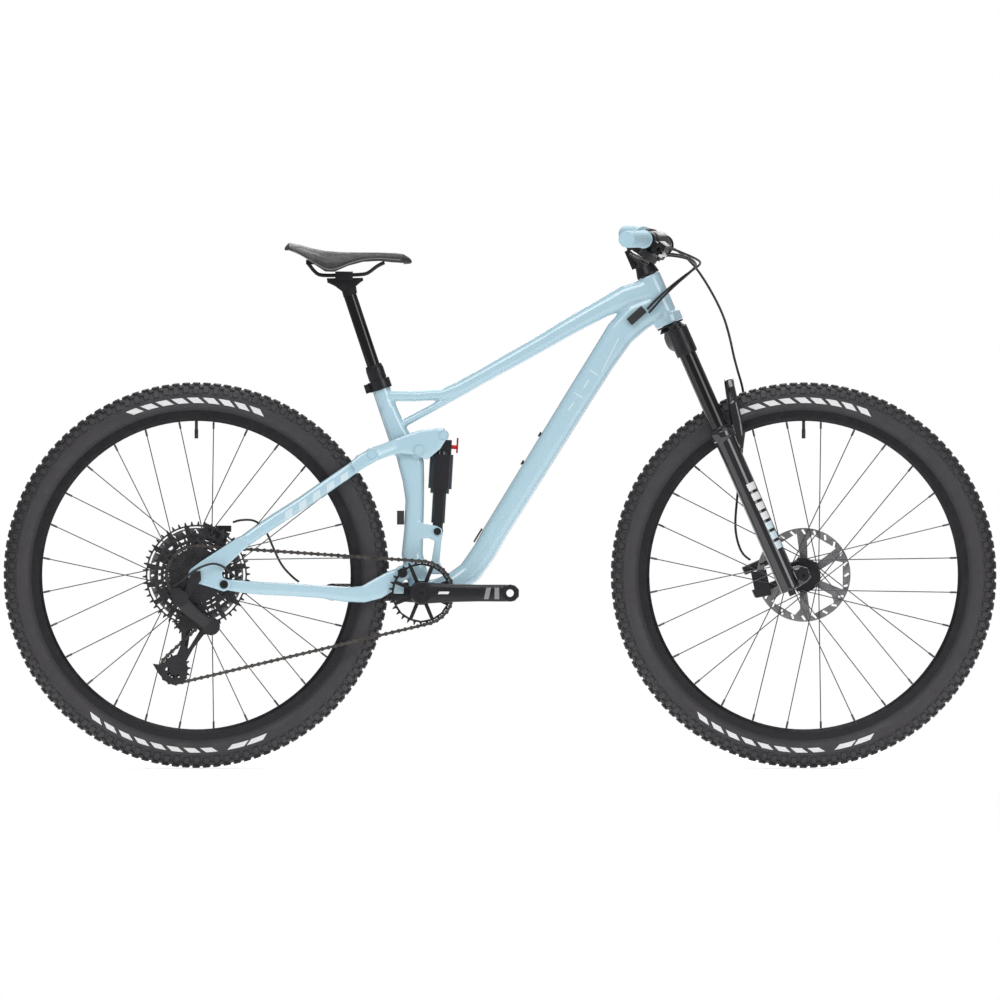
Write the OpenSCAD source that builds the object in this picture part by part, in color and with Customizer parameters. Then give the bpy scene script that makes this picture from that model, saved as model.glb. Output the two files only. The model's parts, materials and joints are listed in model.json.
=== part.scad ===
// Full-suspension trail mountain bike, complete except for its pedals. Millimetres.
// X points forward, Y to the rider's left, Z up; the origin is on the ground, midway between the axles.

/* [Wheels] */
// Distance between the two axles
wheelbase = 1164; // [1160:1:1168]
// Outside radius of each tyre
tyre_radius = 370; // [368:0.5:371]
// Half the width of each tyre
tyre_half_width = 30; // [27:0.5:30.5]
// Half the outside width of each rim
rim_half_width = 17.5; // [15:0.5:18]
// Spokes in each wheel, a multiple of four
spoke_count = 28; // [24:4:32]
// Thickness of a spoke
spoke_diameter = 2; // [1.6:0.1:2]
// Radius of each brake disc
rotor_radius = 90; // [85:1:90]

/* [Frame] */
// Outside radius of the head tube
head_tube_radius = 22.2; // [21:0.2:23]
// Outside radius of the upper seat tube
seat_tube_radius = 17.5; // [17.3:0.1:18]
// Wall thickness of the frame tubes
wall = 3; // [2:0.5:4]
// Radius of the bottom bracket shell
shell_radius = 22.5; // [21:0.5:23]
// Thickness of each rocker plate
rocker_thickness = 7.5; // [6:0.5:8]

/* [Suspension] */
// Radius of the fork stanchions
stanchion_radius = 16; // [15.5:0.1:16.5]
// Radius of the lower fork legs
leg_radius = 19.5; // [19:0.5:20]
// Radius of the shock air can
can_radius = 22.5; // [20:0.5:23]
// Radius of the sliding shock shaft
shaft_radius = 13; // [11:0.5:14]

/* [Drivetrain] */
// Length of each crank arm between its axes
crank_length = 170; // [165:1:175]
// Thickness of each sprocket
sprocket_thickness = 1.6; // [1.4:0.1:1.8]
// Height of the chain's side plates
chain_plate_height = 8; // [7.4:0.2:8.4]

/* [Rider's contact points] */
// Half the width of the handlebar
bar_half_width = 370; // [360:1:380]
// Radius of the grips
grip_radius = 15.8; // [15:0.2:17]
// Half the width of the saddle at its back
saddle_half_width = 71; // [66:1:75]

/* [Hidden] */
$fn = 40;
pitch = 12.7;                       // chain pitch
gap = 0.1;                          // clearance between parts that meet
rear = [-wheelbase / 2, tyre_radius];
front = [wheelbase / 2, tyre_radius];
bb = [-150.7, 336.6];               // crank axis
main_pivot = [-186.7, 374.7];       // frame to chainstay
horst_pivot = [-529.3, 353.4];      // chainstay to seatstay
rocker_pivot = [-155, 610];         // frame to rocker
stay_pivot = [-245.6, 602];         // rocker to seatstay
shock_top = [-109.5, 638];          // rocker to shock
shock_foot = [-120, 454];           // shock to frame
b_knuckle = [-612, 327];            // derailleur to hanger
p_knuckle = [-554.2, 273.1];        // derailleur to cage
guide = [-602.5, 282.4];            // upper derailleur pulley
tension = [-622.8, 191.2];          // lower derailleur pulley
chain_y = -48;                      // plane the chain runs in
cog_spacing = 3.5;
cog_teeth = [11, 13, 15, 17, 19, 22, 25, 28, 32, 36, 42, 50];
chain_cog = 7;                      // place in the list of the cog that holds the chain
head_base = [325.5, 0, 851.4];      // centre of the head tube's lower end
head_lean = -23.7;                  // turns Z onto the steering axis
head_length = 102;
post_base = [-227.4, 0, 726];       // point on the seat tube's axis, below its clamp
post_lean = -18.4;                  // turns Z onto the seat tube's axis
leg_y = 65;                         // fork leg to mid-plane
leg_x = 8;                          // fork leg ahead of the steering axis
axle_drop = [41.3, -543.9];         // front axle from head_base, in the steering frame
ring_points = 24;

// ---------- Shared shapes ----------

// Round bar from p to q.
module rod(p, q, r, r_end = 0) {
  d = q - p;
  translate(p) rotate([0, acos(d[2] / norm(d)), atan2(d[1], d[0])])
    cylinder(h = norm(d), r1 = r, r2 = r_end > 0 ? r_end : r);
}

// Round bar across the bike, centred on c = [x, z], from y0 to y1.
module across(c, y0, y1, r) {
  translate([c[0], y0, c[1]]) rotate([-90, 0, 0]) cylinder(h = y1 - y0, r = r);
}

// Flat plate with an outline of [x, z] points, from y0 to y1.
module plate(outline, y0, y1) {
  translate([0, y1, 0]) rotate([90, 0, 0]) linear_extrude(y1 - y0) polygon(outline);
}

// Puts a shape drawn about Z, with Z pointing to the right, on a cross axis at c.
module on_axis(c, y = 0) {
  translate([c[0], y, c[1]]) rotate([90, 0, 0]) children();
}

module both_sides() {
  children();
  mirror([0, 1, 0]) children();
}

// Steering frame: Z runs up the steering axis from the head tube's lower end, X points forward.
module steered() {
  translate(head_base) rotate([0, head_lean, 0]) children();
}

// Seat post frame: Z runs up the seat tube's axis.
module posted() {
  translate(post_base) rotate([0, post_lean, 0]) children();
}

// Closed skin through a list of rings that have the same number of points.
module loft(rings) {
  n = len(rings[0]);
  m = len(rings);
  first = [[for (i = [0:n - 1]) i]];
  last = [[for (i = [n - 1:-1:0]) (m - 1) * n + i]];
  sides = [for (k = [0:m - 2], i = [0:n - 1], half = [0, 1])
    half == 0 ? [k * n + i, (k + 1) * n + i, (k + 1) * n + (i + 1) % n]
              : [k * n + i, (k + 1) * n + (i + 1) % n, k * n + (i + 1) % n]];
  polyhedron(points = [for (r = rings) each r], faces = concat(first, sides, last));
}

// Rounded ring about c with half sizes a along u and b along v.
function ring(c, u, v, a, b, square = 0.75) = [for (i = [0:ring_points - 1])
  let(t = i * 360 / ring_points)
  c + u * a * sign(cos(t)) * pow(abs(cos(t)), square) + v * b * sign(sin(t)) * pow(abs(sin(t)), square)];

function heading(s, k) =
  let(p = s[max(k - 1, 0)], q = s[min(k + 1, len(s) - 1)], d = [q[0] - p[0], q[1] - p[1]]) d / norm(d);

// Rings of a tube through stations [x, z, depth, width, y], made smaller by inset on every side.
function tube_rings(s, inset) = [for (k = [0:len(s) - 1])
  let(d = heading(s, k), q = s[k])
  ring([q[0], len(q) > 4 ? q[4] : 0, q[1]], [d[1], 0, -d[0]], [0, 1, 0], q[2] / 2 - inset, q[3] / 2 - inset)];

module tube(s, inset = 0) {
  loft(tube_rings(s, inset));
}

// Point a fraction t of the way from q to r on the smooth curve through p, q, r, s.
function between(p, q, r, s, t) =
  (2 * q + (r - p) * t + (2 * p - 5 * q + 4 * r - s) * t * t + (3 * q - p - 3 * r + s) * t * t * t) / 2;

function smooth(p, n) = [
  for (k = [0:len(p) - 2], j = [0:n - 1])
    between(p[max(k - 1, 0)], p[k], p[k + 1], p[min(k + 2, len(p) - 1)], j / n),
  p[len(p) - 1]];

function unit(v) = v / norm(v);

// Flexible hose of radius r through a few points.
module hose(points, r, n = 3) {
  p = smooth(points, n);
  m = len(p);
  loft([for (k = [0:m - 1])
    let(d = unit(p[min(k + 1, m - 1)] - p[max(k - 1, 0)]), u = unit(cross(d, [0.41, 0.33, 0.85])), v = cross(d, u))
    [for (i = [0:7]) p[k] + r * (u * cos(45 * i) + v * sin(45 * i))]]);
}

// ---------- Wheels ----------

// Hollow tyre with raised rows of tread around it.
module tyre(c) {
  middle = tyre_radius - 31;
  outer = [for (a = [-126:6:126]) [middle + 29 * cos(a), (tyre_half_width - 0.8) * sin(a)]];
  inner = [for (a = [126:-6:-126]) [middle + 25.5 * cos(a), (tyre_half_width - 4) * sin(a)]];
  color([0.09, 0.09, 0.09]) on_axis(c) rotate_extrude() union() {
    polygon(concat(outer, inner));
    for (side = [-1, 1]) {
      translate([tyre_radius - 4, side * 7]) square([8, 8], center = true);
      translate([tyre_radius - 12, side * 19]) rotate(side * 36) square([12, 8], center = true);
    }
  }
}

// Hollow rim section that sits between the tyre's two beads.
module rim(c) {
  w = rim_half_width;
  color([0.08, 0.08, 0.09]) on_axis(c) difference() {
    rotate_extrude() difference() {
      polygon([[317, w], [317, w - 2.2], [304, w - 2.8], [304, -w + 2.8], [317, -w + 2.2], [317, -w],
        [302, -w], [295.5, -10], [295.5, 10], [302, w]]);
      polygon([[302, 13], [302, -13], [297.5, -9], [297.5, 9]]);
    }
    rotate([-90, 0, 0]) translate([0, 0, 280]) cylinder(h = 40, r = 3.1);
  }
}

// Air valve with its cap, at the top of the wheel.
module valve(c) {
  color([0.15, 0.15, 0.15]) translate([c[0], 0, c[1]]) union() {
    translate([0, 0, 262]) cylinder(h = 18, r = 3.6);
    translate([0, 0, 270]) cylinder(h = 36, r = 3);
    translate([0, 0, 304.1]) cylinder(h = 3, r = 6);
  }
}

// Angle of spoke k's hole in a flange; the valve falls halfway between two spokes.
function hole_angle(side, k) = (k + side / 2 + 0.25) * 720 / spoke_count;

// Three-cross spokes, alternately outside and inside each flange.
module spokes(c, flanges) {
  color([0.25, 0.25, 0.26]) on_axis(c) for (side = [0, 1], k = [0:spoke_count / 2 - 1]) {
    toward = k % 2 == 0 ? 1 : -1;
    y = flanges[side];
    at_hub = hole_angle(side, k);
    at_rim = at_hub + toward * 2160 / spoke_count;
    hub_end = [29 * cos(at_hub), 29 * sin(at_hub), y + toward * (toward == sign(y) ? 5.2 : 3.2)];
    rim_end = [295.3 * cos(at_rim), 295.3 * sin(at_rim), sign(y) * 3];
    nipple = rim_end + unit(hub_end - rim_end) * 13;
    rod(hub_end, rim_end, spoke_diameter / 2);
    rod(nipple, rim_end - unit(rim_end - hub_end) * 0.4, 2);
    rod(hub_end, [hub_end[0], hub_end[1], y - toward * 4.4], spoke_diameter / 2);
  }
}

// Hub shell from y0 to y1 with two drilled flanges, a disc mount on the left and a bore for the axle.
module hub(c, y_right, y_left, flanges, disc_y, bore) {
  color([0.1, 0.1, 0.11]) difference() {
    union() {
      across(c, y_right, y_left, 12);
      across(c, -max(flanges) + 1, -min(flanges) - 1, 17.5);
      for (f = flanges) across(c, -f - 1.8, -f + 1.8, 32.5);
      across(c, disc_y - 10, disc_y - 1, 23);
    }
    across(c, y_right - 1, y_left + 1, bore);
    on_axis(c) for (side = [0, 1], k = [0:spoke_count / 2 - 1])
      rotate(hole_angle(side, k)) translate([29, 0, flanges[side] - 3]) cylinder(h = 6, r = 1.3);
    on_axis(c) for (k = [0:5]) rotate(k * 60 + 15) translate([22 - 1, 0, -disc_y - 1]) cylinder(h = 9, r = 2.6);
  }
}

// Brake disc: slotted braking ring on six arms.
module rotor(c, y) {
  color([0.72, 0.73, 0.74]) on_axis(c, y + 0.9) linear_extrude(1.8) difference() {
    circle(r = rotor_radius);
    for (k = [0:23]) rotate(k * 15) translate([rotor_radius - 7.5, 0]) rotate(35) square([10, 4], center = true);
    for (k = [0:5]) rotate(k * 60) {
      polygon([[33, -11], [rotor_radius - 15, -28], [rotor_radius - 15, 24], [60, 27], [31, 9]]);
      rotate(15) translate([21, 0]) circle(r = 2.6);
    }
    circle(r = 16);
  }
}

module rotor_bolts(c, y) {
  color([0.2, 0.2, 0.2]) on_axis(c) for (k = [0:5]) rotate(k * 60 + 15) translate([21, 0, 0]) {
    translate([0, 0, -y - 3.2]) cylinder(h = 2.2, r = 4);
    translate([0, 0, -y - 2]) cylinder(h = 8, r = 2.45);
  }
}

front_flanges = [22, -22];
rear_flanges = [24, -38];

module front_tyre() { tyre(front); }
module front_rim() { rim(front); }
module front_spokes() { spokes(front, front_flanges); }
module front_hub() { hub(front, -54.8, 54.8, front_flanges, 39, 7.6); }
module front_rotor() { rotor(front, 39); }
module rear_tyre() { tyre(rear); }
module rear_rim() { rim(rear); }
module rear_spokes() { spokes(rear, rear_flanges); }
module rear_hub() { hub(rear, -31.5, 73.9, rear_flanges, 58.7, 6.1); }
module rear_rotor() { rotor(rear, 58.7); }

// ---------- Front frame ----------

top_tube = [[-214, 714, 22, 31], [-165, 713.5, 21.5, 31], [-110, 717, 22, 32], [-76.9, 727.4, 29, 33],
  [-32.5, 752.2, 28, 34], [25.2, 784.5, 30, 35], [81.9, 816.8, 31, 37], [137.2, 849.5, 33.5, 39],
  [196.8, 882.1, 37, 41], [245, 906, 46, 42], [285, 918, 46, 42]];
down_tube = [[-150.7, 337, 40, 66], [-115, 343, 43, 64], [-85, 355, 46, 60], [-58, 375, 46, 56], [-30, 415, 46, 53],
  [-9.1, 452.8, 46, 52], [72.3, 584.1, 48, 50], [153.6, 715.4, 50, 47], [194.9, 780.9, 51, 45],
  [230, 834, 56, 43], [262, 866, 62, 42], [298, 884, 54, 42]];
seat_tube = [[-150.7, 340, 40, 60], [-161, 378, 42, 52], [-168.5, 410, 41, 44], [-165.3, 456.9, 37, 42],
  [-163.4, 514.4, 36, 40], [-166, 552.7, 42, 39], [-170, 584, 50, 38], [-184, 622, 42, 37], [-198.4, 650, 36, 36],
  [-215.5, 690, 34.5, 34.5]];
gusset = [[-204, 650, 16, 26], [-179, 664, 15, 26], [-128, 691, 14, 26], [-75, 722, 18, 28]];

// Arm and strut that carry the lower end of the shock.
module shock_bracket() {
  both_sides() difference() {
    plate([[-168, 474], [-140, 468], [-121, 465], [-111, 459], [-109, 450], [-112, 438], [-116, 395], [-103, 372],
      [-140, 372], [-131, 400], [-125, 436], [-136, 441], [-168, 440]], 13.2, 20);
    across(shock_foot, 10, 24, 4.05);
  }
}

module front_frame() {
  color([0.63, 0.76, 0.82]) difference() {
    union() {
      steered() cylinder(h = head_length, r = head_tube_radius);
      steered() cylinder(h = 20, r = 27.8);
      tube(top_tube);
      tube(down_tube);
      tube(seat_tube);
      tube(gusset);
      posted() translate([0, 0, -128]) cylinder(h = 148, r = seat_tube_radius);
      across(bb, -36.5, 36.5, shell_radius);
      across(main_pivot, -30.5, 30.5, 13.5);
      across(rocker_pivot, -23.6, 23.6, 14);
      shock_bracket();
    }
    difference() {
      union() {
        tube(top_tube, wall);
        tube(down_tube, wall);
        tube(seat_tube, wall);
      }
      across(main_pivot, -40, 40, 13.5);
      across(rocker_pivot, -40, 40, 12);
    }
    steered() translate([0, 0, -1]) cylinder(h = head_length + 2, r = 18.2);
    steered() translate([0, 0, -1]) cylinder(h = 12, r = 25.6);
    posted() translate([0, 0, -112]) cylinder(h = 140, r = 15.85);
    across(bb, -40, 40, 17.1);
    across(main_pivot, -40, 40, 7.5);
    across(rocker_pivot, -40, 40, 6.1);
    for (p = bottle_points) at_bottle(p) cylinder(h = 20, r = 2.6);
  }
}

bottle_points = [[98.3, 626.3], [65.1, 572.3]];

// Frame across the down tube at p, with Z pointing out of its upper face.
module at_bottle(p) {
  translate([p[0], 0, p[1]]) rotate([0, -58.3, 0]) translate([0, 0, 14]) children();
}

module bottle_bolts() {
  color([0.12, 0.12, 0.12]) for (p = bottle_points) at_bottle(p) difference() {
    union() {
      translate([0, 0, 10.4]) cylinder(h = 3.4, r = 5);
      translate([0, 0, 2]) cylinder(h = 9, r = 2.45);
    }
    translate([0, 0, 12]) cylinder(h = 3, r = 2.3, $fn = 6);
  }
}

// Rubber plug over the cable opening low on the down tube.
module down_tube_plug() {
  color([0.07, 0.07, 0.07]) translate([-20.7, 0, 433.4]) rotate([0, -58.9, 0]) translate([-15, -6, 23.4])
    cube([30, 12, 3.4]);
}

// Blanking cover behind the seat tube.
module mount_cover() {
  color([0.08, 0.08, 0.08]) translate([-197.5, -11, 467]) cube([13.8, 22, 26.5]);
}

// Blocks on both sides of the head tube that take the cables into the frame.
module cable_ports() {
  color([0.07, 0.07, 0.07]) both_sides() translate([262, -23.2, 868]) rotate([0, -42, 0]) difference() {
    translate([-19, -7, -8]) cube([38, 7, 16]);
    for (z = [-3.5, 3.5]) translate([8, -3.6, z]) rotate([0, 90, 0]) cylinder(h = 20, r = 2.8);
  }
}

module headset_cups() {
  color([0.06, 0.06, 0.06]) steered() {
    difference() {
      translate([0, 0, -3.5]) cylinder(h = 3.4, r = 26.5);
      translate([0, 0, -5]) cylinder(h = 6, r = 20.2);
    }
    difference() {
      translate([0, 0, head_length + gap]) cylinder(h = 4, r = 22);
      translate([0, 0, head_length - 1]) cylinder(h = 7, r = 14.6);
    }
  }
}

module bottom_bracket() {
  color([0.1, 0.1, 0.1]) both_sides() difference() {
    union() {
      across(bb, 36.6, 43.5, 21.8);
      across(bb, 18, 37, 17);
    }
    across(bb, 10, 50, 14.6);
  }
}

module seat_clamp() {
  color([0.07, 0.07, 0.07]) posted() difference() {
    union() {
      translate([0, 0, 0]) cylinder(h = 19, r = seat_tube_radius + 4);
      translate([-30, -8, 1]) cube([15, 16, 17]);
    }
    translate([0, 0, -1]) cylinder(h = 30, r = seat_tube_radius + gap);
    translate([-32, -1, -1]) cube([14, 2, 30]);
    translate([-25, 20, 9.5]) rotate([90, 0, 0]) cylinder(h = 40, r = 2.7);
  }
}

module seat_clamp_bolt() {
  color([0.3, 0.3, 0.3]) posted() translate([-25, 0, 9.5]) rotate([90, 0, 0]) union() {
    translate([0, 0, -9]) cylinder(h = 18, r = 2.5);
    translate([0, 0, 8.1]) cylinder(h = 4.5, r = 4.2);
  }
}

// Fixed outer tube of the dropper post, with its sealed collar.
module dropper_outer() {
  color([0.06, 0.06, 0.06]) posted() difference() {
    union() {
      translate([0, 0, -108]) cylinder(h = 140, r = 15.75);
      translate([0, 0, 20.2]) cylinder(h = 20, r = 17.2);
      translate([0, 0, 40.2]) cylinder(h = 9, r1 = 17.2, r2 = 15.6);
    }
    translate([0, 0, -104]) cylinder(h = 160, r = 12.55);
  }
}

// Axle and caps of the main pivot.
module main_pivot_axle() {
  color([0.12, 0.12, 0.13]) union() {
    across(main_pivot, -41.2, 41.2, 7.4);
    across(main_pivot, -44, -41.2, 9);
    across(main_pivot, 41.2, 44, 9);
  }
}

module shock_foot_bolt() {
  color([0.15, 0.15, 0.15]) union() {
    across(shock_foot, -21, 21, 4);
    across(shock_foot, -23.5, -20.1, 7);
    across(shock_foot, 20.1, 23.5, 7);
  }
}

// ---------- Rear suspension ----------

chainstay_path = [[-529, 353.4, 21, 5.8, -77.8], [-514, 351.5, 23, 6, -77.8], [-492, 348.5, 24, 8, -78],
  [-460.3, 345.1, 24, 13, -75.5], [-402.8, 342.3, 24, 16, -66], [-345.3, 338.4, 24, 16, -54.5],
  [-297.3, 333, 28, 15, -46.8], [-262, 334, 33, 12, -42.2], [-236, 344, 40, 10, -39.2], [-212, 358, 38, 9.4, -36.8],
  [-188, 373, 26, 9.4, -36]];

module chainstay() {
  color([0.63, 0.76, 0.82]) difference() {
    union() {
      both_sides() tube(chainstay_path);
      both_sides() across(horst_pivot, 74.8, 80.7, 11.5);
      both_sides() across(main_pivot, 31.2, 40.9, 14);
      translate([-204, -38, 335]) cube([20, 76, 19]);
    }
    across(main_pivot, -50, 50, 7.5);
    across(horst_pivot, -90, 90, 5.1);
  }
}

dropout = [[-481.6, 429.9], [-506.1, 405.5], [-525.7, 386.9], [-533, 375], [-531, 366], [-521, 362], [-516, 353],
  [-520, 343], [-530, 339.5], [-545.2, 344.7], [-584.3, 356.6], [-594.1, 360.5], [-598.9, 371.2], [-594.1, 381.9],
  [-574.5, 396.7], [-555, 409.3], [-510.9, 437.7], [-492, 446]];
seatstay_path = [[-524, 410, 26, 7, -84], [-499.6, 427.7, 23, 12, -79.5], [-462.4, 454.7, 24, 14, -72],
  [-425.8, 478.9, 24, 14.5, -64], [-380, 508, 24, 14, -55], [-335, 539, 25, 12.5, -46.6], [-300, 563, 25, 11.6, -41],
  [-270, 584, 24, 11, -34], [-245.6, 601, 22, 10.5, -29.6]];

module seatstay() {
  color([0.63, 0.76, 0.82]) difference() {
    union() {
      both_sides() tube(seatstay_path);
      both_sides() plate(dropout, 81, 87);
      both_sides() across(rear, 74.2, 87, 14);
      both_sides() across(stay_pivot, 24.4, 35, 12);
      across([-271, 594], -36, 36, 6.3);
    }
    across(rear, -100, 100, 6.05);
    across(horst_pivot, -100, 100, 5.1);
    across(stay_pivot, -50, 50, 5);
  }
}

module rear_axle() {
  color([0.13, 0.13, 0.14]) difference() {
    union() {
      across(rear, -87, 87, 6);
      across(rear, 87.1, 90, 9);
    }
    across(rear, 84, 92, 3);
  }
}

module horst_bolts() {
  color([0.12, 0.12, 0.12]) both_sides() difference() {
    union() {
      across(horst_pivot, 75, 87.4, 5);
      across(horst_pivot, 87.1, 89.4, 8);
    }
    across(horst_pivot, 86, 92, 2.5);
  }
}

rocker_path = [[-281, 577, 23, rocker_thickness, -49], [-262, 590, 27, rocker_thickness, -45.5],
  [-240, 602.5, 27, rocker_thickness, -42.5], [-216, 611, 26, rocker_thickness, -35], [-196, 618, 30, rocker_thickness, -29],
  [-170, 622, 42, rocker_thickness, -28.3], [-145, 620, 59, rocker_thickness, -28.3], [-126, 631, 45, rocker_thickness, -28.3],
  [-103, 645, 18, rocker_thickness, -28.3]];

// Wing-shaped link: two plates joined by a bridge ahead of the seat tube.
module rocker() {
  color([0.63, 0.76, 0.82]) difference() {
    union() {
      both_sides() {
        tube(rocker_path);
        across(stay_pivot, 37.4, 47, 11);
        across(rocker_pivot, 24.4, 32.4, 13);
        across(shock_top, 13.2, 32.4, 10.5);
      }
      plate([[-150, 634], [-128, 640], [-126, 650], [-138, 649.5], [-158, 644]], -27, 27);
    }
    across(rocker_pivot, -50, 50, 6.1);
    across(shock_top, -50, 50, 4.1);
    across(stay_pivot, -60, 60, 5.1);
    both_sides() across(stay_pivot, 47.05, 60, 8.2);
  }
}

// Bolts that turn with the rocker. Those at the stay and at the shock are stubs, because both loops are open there.
module rocker_bolts() {
  color([0.12, 0.12, 0.13]) {
    union() {
      across(rocker_pivot, -32.5, 32.5, 6);
      across(rocker_pivot, -35.5, -32.5, 9);
      across(rocker_pivot, 32.5, 35.5, 9);
    }
    both_sides() {
      union() {
        across(stay_pivot, 38, 47.2, 5);
        across(stay_pivot, 47.1, 49.6, 8);
      }
      union() {
        across(shock_top, 14, 32.6, 4);
        across(shock_top, 32.5, 35.2, 7);
      }
    }
  }
}

// Frame on the shock's axis, with Z from its foot to its top.
module along_shock() {
  translate([shock_foot[0], 0, shock_foot[1]])
    rotate([0, atan2(shock_top[0] - shock_foot[0], shock_top[1] - shock_foot[1]), 0]) children();
}

shock_length = norm(shock_top - shock_foot);

module shock_shaft() {
  color([0.75, 0.76, 0.78]) difference() {
    union() {
      across(shock_foot, -12.8, 12.8, 11);
      along_shock() cylinder(h = 22, r = 10);
      along_shock() translate([0, 0, 16]) cylinder(h = 80, r = shaft_radius);
    }
    across(shock_foot, -30, 30, 4.1);
  }
}

// Air can, head and top eye.
module shock_body() {
  color([0.06, 0.06, 0.07]) along_shock() difference() {
    union() {
      translate([0, 0, 73]) cylinder(h = 10, r = 18);
      translate([0, 0, 82]) cylinder(h = 66, r = can_radius);
      translate([0, 0, 147]) cylinder(h = 7, r1 = 21, r2 = 15);
      translate([-12, -12.6, 150]) cube([30, 25.2, 26]);
      translate([0, 12.8, shock_length]) rotate([90, 0, 0]) cylinder(h = 25.6, r = 11);
    }
    translate([0, 0, 70]) cylinder(h = 77, r = shaft_radius + 0.05);
    translate([0, 30, shock_length]) rotate([90, 0, 0]) cylinder(h = 60, r = 4.1);
    translate([30, 0, 163]) rotate([0, -90, 0]) cylinder(h = 26, r = 4.1);
  }
}

// Compression lever on the front of the shock's head.
module shock_lever() {
  color([0.75, 0.12, 0.12]) along_shock() union() {
    translate([5, 0, 163]) rotate([0, 90, 0]) cylinder(h = 23, r = 4);
    translate([27, -4.5, 152]) cube([3.4, 9, 29]);
  }
}

// ---------- Fork and cockpit ----------

// Steerer tube, crown and the two sleeves that hold the stanchions.
module fork_crown() {
  color([0.06, 0.06, 0.07]) steered() difference() {
    union() {
      translate([0, 0, -30]) cylinder(h = 193, r = 14.3);
      translate([0, 0, -12]) cylinder(h = 8.4, r1 = 26, r2 = 20);
      loft([for (y = [-66, -58, -40, -20, 0, 20, 40, 58, 66])
        let(t = 1 - abs(y) / 66, grow = 1 - pow(abs(y) / 66, 8) * 0.35)
        ring([leg_x - 5 * t, y, -36 + 5 * t], [0, 0, 1], [1, 0, 0], (20 + 4 * t) * grow, (19 + 6 * t) * grow)]);
      for (y = [-leg_y, leg_y]) translate([leg_x, y, -66]) cylinder(h = 54, r = 20.5);
    }
    for (y = [-leg_y, leg_y]) translate([leg_x, y, -70]) cylinder(h = 60, r = stanchion_radius + 0.05);
    translate([0, 0, -80]) cylinder(h = 250, r = 11.6);
  }
}

module stanchions() {
  color([0.1, 0.1, 0.11]) steered() for (y = [-leg_y, leg_y]) translate([leg_x, y, -330]) difference() {
    cylinder(h = 319, r = stanchion_radius);
    translate([0, 0, -1]) cylinder(h = 300, r = stanchion_radius - 2.5);
    translate([0, 0, 312]) cylinder(h = 10, r = 6.1);
  }
}

// Turning dial on the right leg and fixed air cap on the left one.
module fork_dial() {
  color([0.1, 0.1, 0.1]) steered() translate([leg_x, -leg_y, -18]) union() {
    cylinder(h = 8, r = 6);
    translate([0, 0, 7.2]) cylinder(h = 7, r = 13);
    translate([-15, -2, 8]) cube([15, 4, 5]);
  }
}

module fork_air_cap() {
  color([0.1, 0.1, 0.1]) steered() translate([leg_x, leg_y, -18]) union() {
    cylinder(h = 8, r = 6);
    translate([0, 0, 7.2]) cylinder(h = 5, r = 14);
  }
}

module stem_spacer() {
  color([0.05, 0.05, 0.05]) steered() difference() {
    translate([0, 0, head_length + 4.2]) cylinder(h = 16, r1 = 22, r2 = 17.5);
    cylinder(h = 200, r = 14.5);
  }
}

module stem() {
  color([0.05, 0.05, 0.05]) steered() difference() {
    union() {
      translate([0, 0, 122.4]) cylinder(h = 41, r = 18.5);
      translate([-24, -11, 124]) cube([14, 22, 38]);
      translate([0, -16, 129]) cube([36, 32, 29]);
      translate([49.5, 24, 143.8]) rotate([90, 0, 0]) cylinder(h = 48, r = 20);
    }
    translate([0, 0, 100]) cylinder(h = 100, r = 14.4);
    translate([-30, -1, 100]) cube([20, 2, 80]);
    translate([49.5, 40, 143.8]) rotate([90, 0, 0]) cylinder(h = 80, r = 16.1);
    translate([49.5, -40, 100]) cube([60, 80, 90]);
    for (z = [132, 154]) translate([-19, 20, z]) rotate([90, 0, 0]) cylinder(h = 40, r = 2.7);
  }
}

module stem_faceplate() {
  color([0.05, 0.05, 0.05]) steered() difference() {
    translate([49.5, 24, 143.8]) rotate([90, 0, 0]) cylinder(h = 48, r = 20);
    translate([49.5, 40, 143.8]) rotate([90, 0, 0]) cylinder(h = 80, r = 16.1);
    translate([-10, -40, 100]) cube([62, 80, 90]);
    translate([40, -9, 100]) cube([40, 18, 90]);
  }
}

module stem_bolts() {
  color([0.35, 0.35, 0.36]) steered() for (z = [132, 154]) translate([-19, 0, z]) rotate([90, 0, 0]) union() {
    translate([0, 0, -11]) cylinder(h = 22, r = 2.5);
    translate([0, 0, 11.1]) cylinder(h = 4, r = 4.2);
  }
}

module top_cap() {
  color([0.06, 0.06, 0.06]) steered() union() {
    translate([0, 0, 163.6]) cylinder(h = 4, r = 17.5);
    translate([0, 0, 150]) cylinder(h = 15, r = 11.4);
  }
}

bar_kink = [310.5, 100, 1016];
bar_tip = [243, bar_half_width, 1019];

// Point on the straight part of the bar, y from the mid-plane.
function on_bar(y) = bar_kink + (bar_tip - bar_kink) * (y - 100) / (bar_half_width - 100);

// Stations [x, y, z, radius] along one half of the bar.
bar_path = [[313, 28, 1003, 15.9], [313, 45, 1003.7, 15.6], [312.7, 62, 1007, 14.1], [311.8, 80, 1012.4, 12.1],
  [each bar_kink, 11.1], [each on_bar(bar_half_width - 3), 11.1]];

// The bar's skin, made smaller by inset all round; its ends then run out a little past the bar's own.
module bar_shape(inset) {
  n = len(bar_path);
  loft([for (side = [-1, 1], k = [0:n - 1])
    let(q = bar_path[side < 0 ? n - 1 - k : k], r = q[3] - inset)
    ring([q[0], side * q[1] * (1 + inset / 400), q[2]], [0, 0, 1], [1, 0, 0], r, r, 1)]);
}

module handlebar() {
  color([0.06, 0.06, 0.06]) difference() {
    bar_shape(0);
    bar_shape(2.4);
  }
}

module grip() {
  color([0.63, 0.79, 0.86]) difference() {
    union() {
      rod(on_bar(243), on_bar(bar_half_width + 3), grip_radius);
      rod(on_bar(240), on_bar(246), grip_radius + 2);
    }
    rod(on_bar(230), on_bar(bar_half_width + 0.4), 11.2);
  }
}

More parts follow.
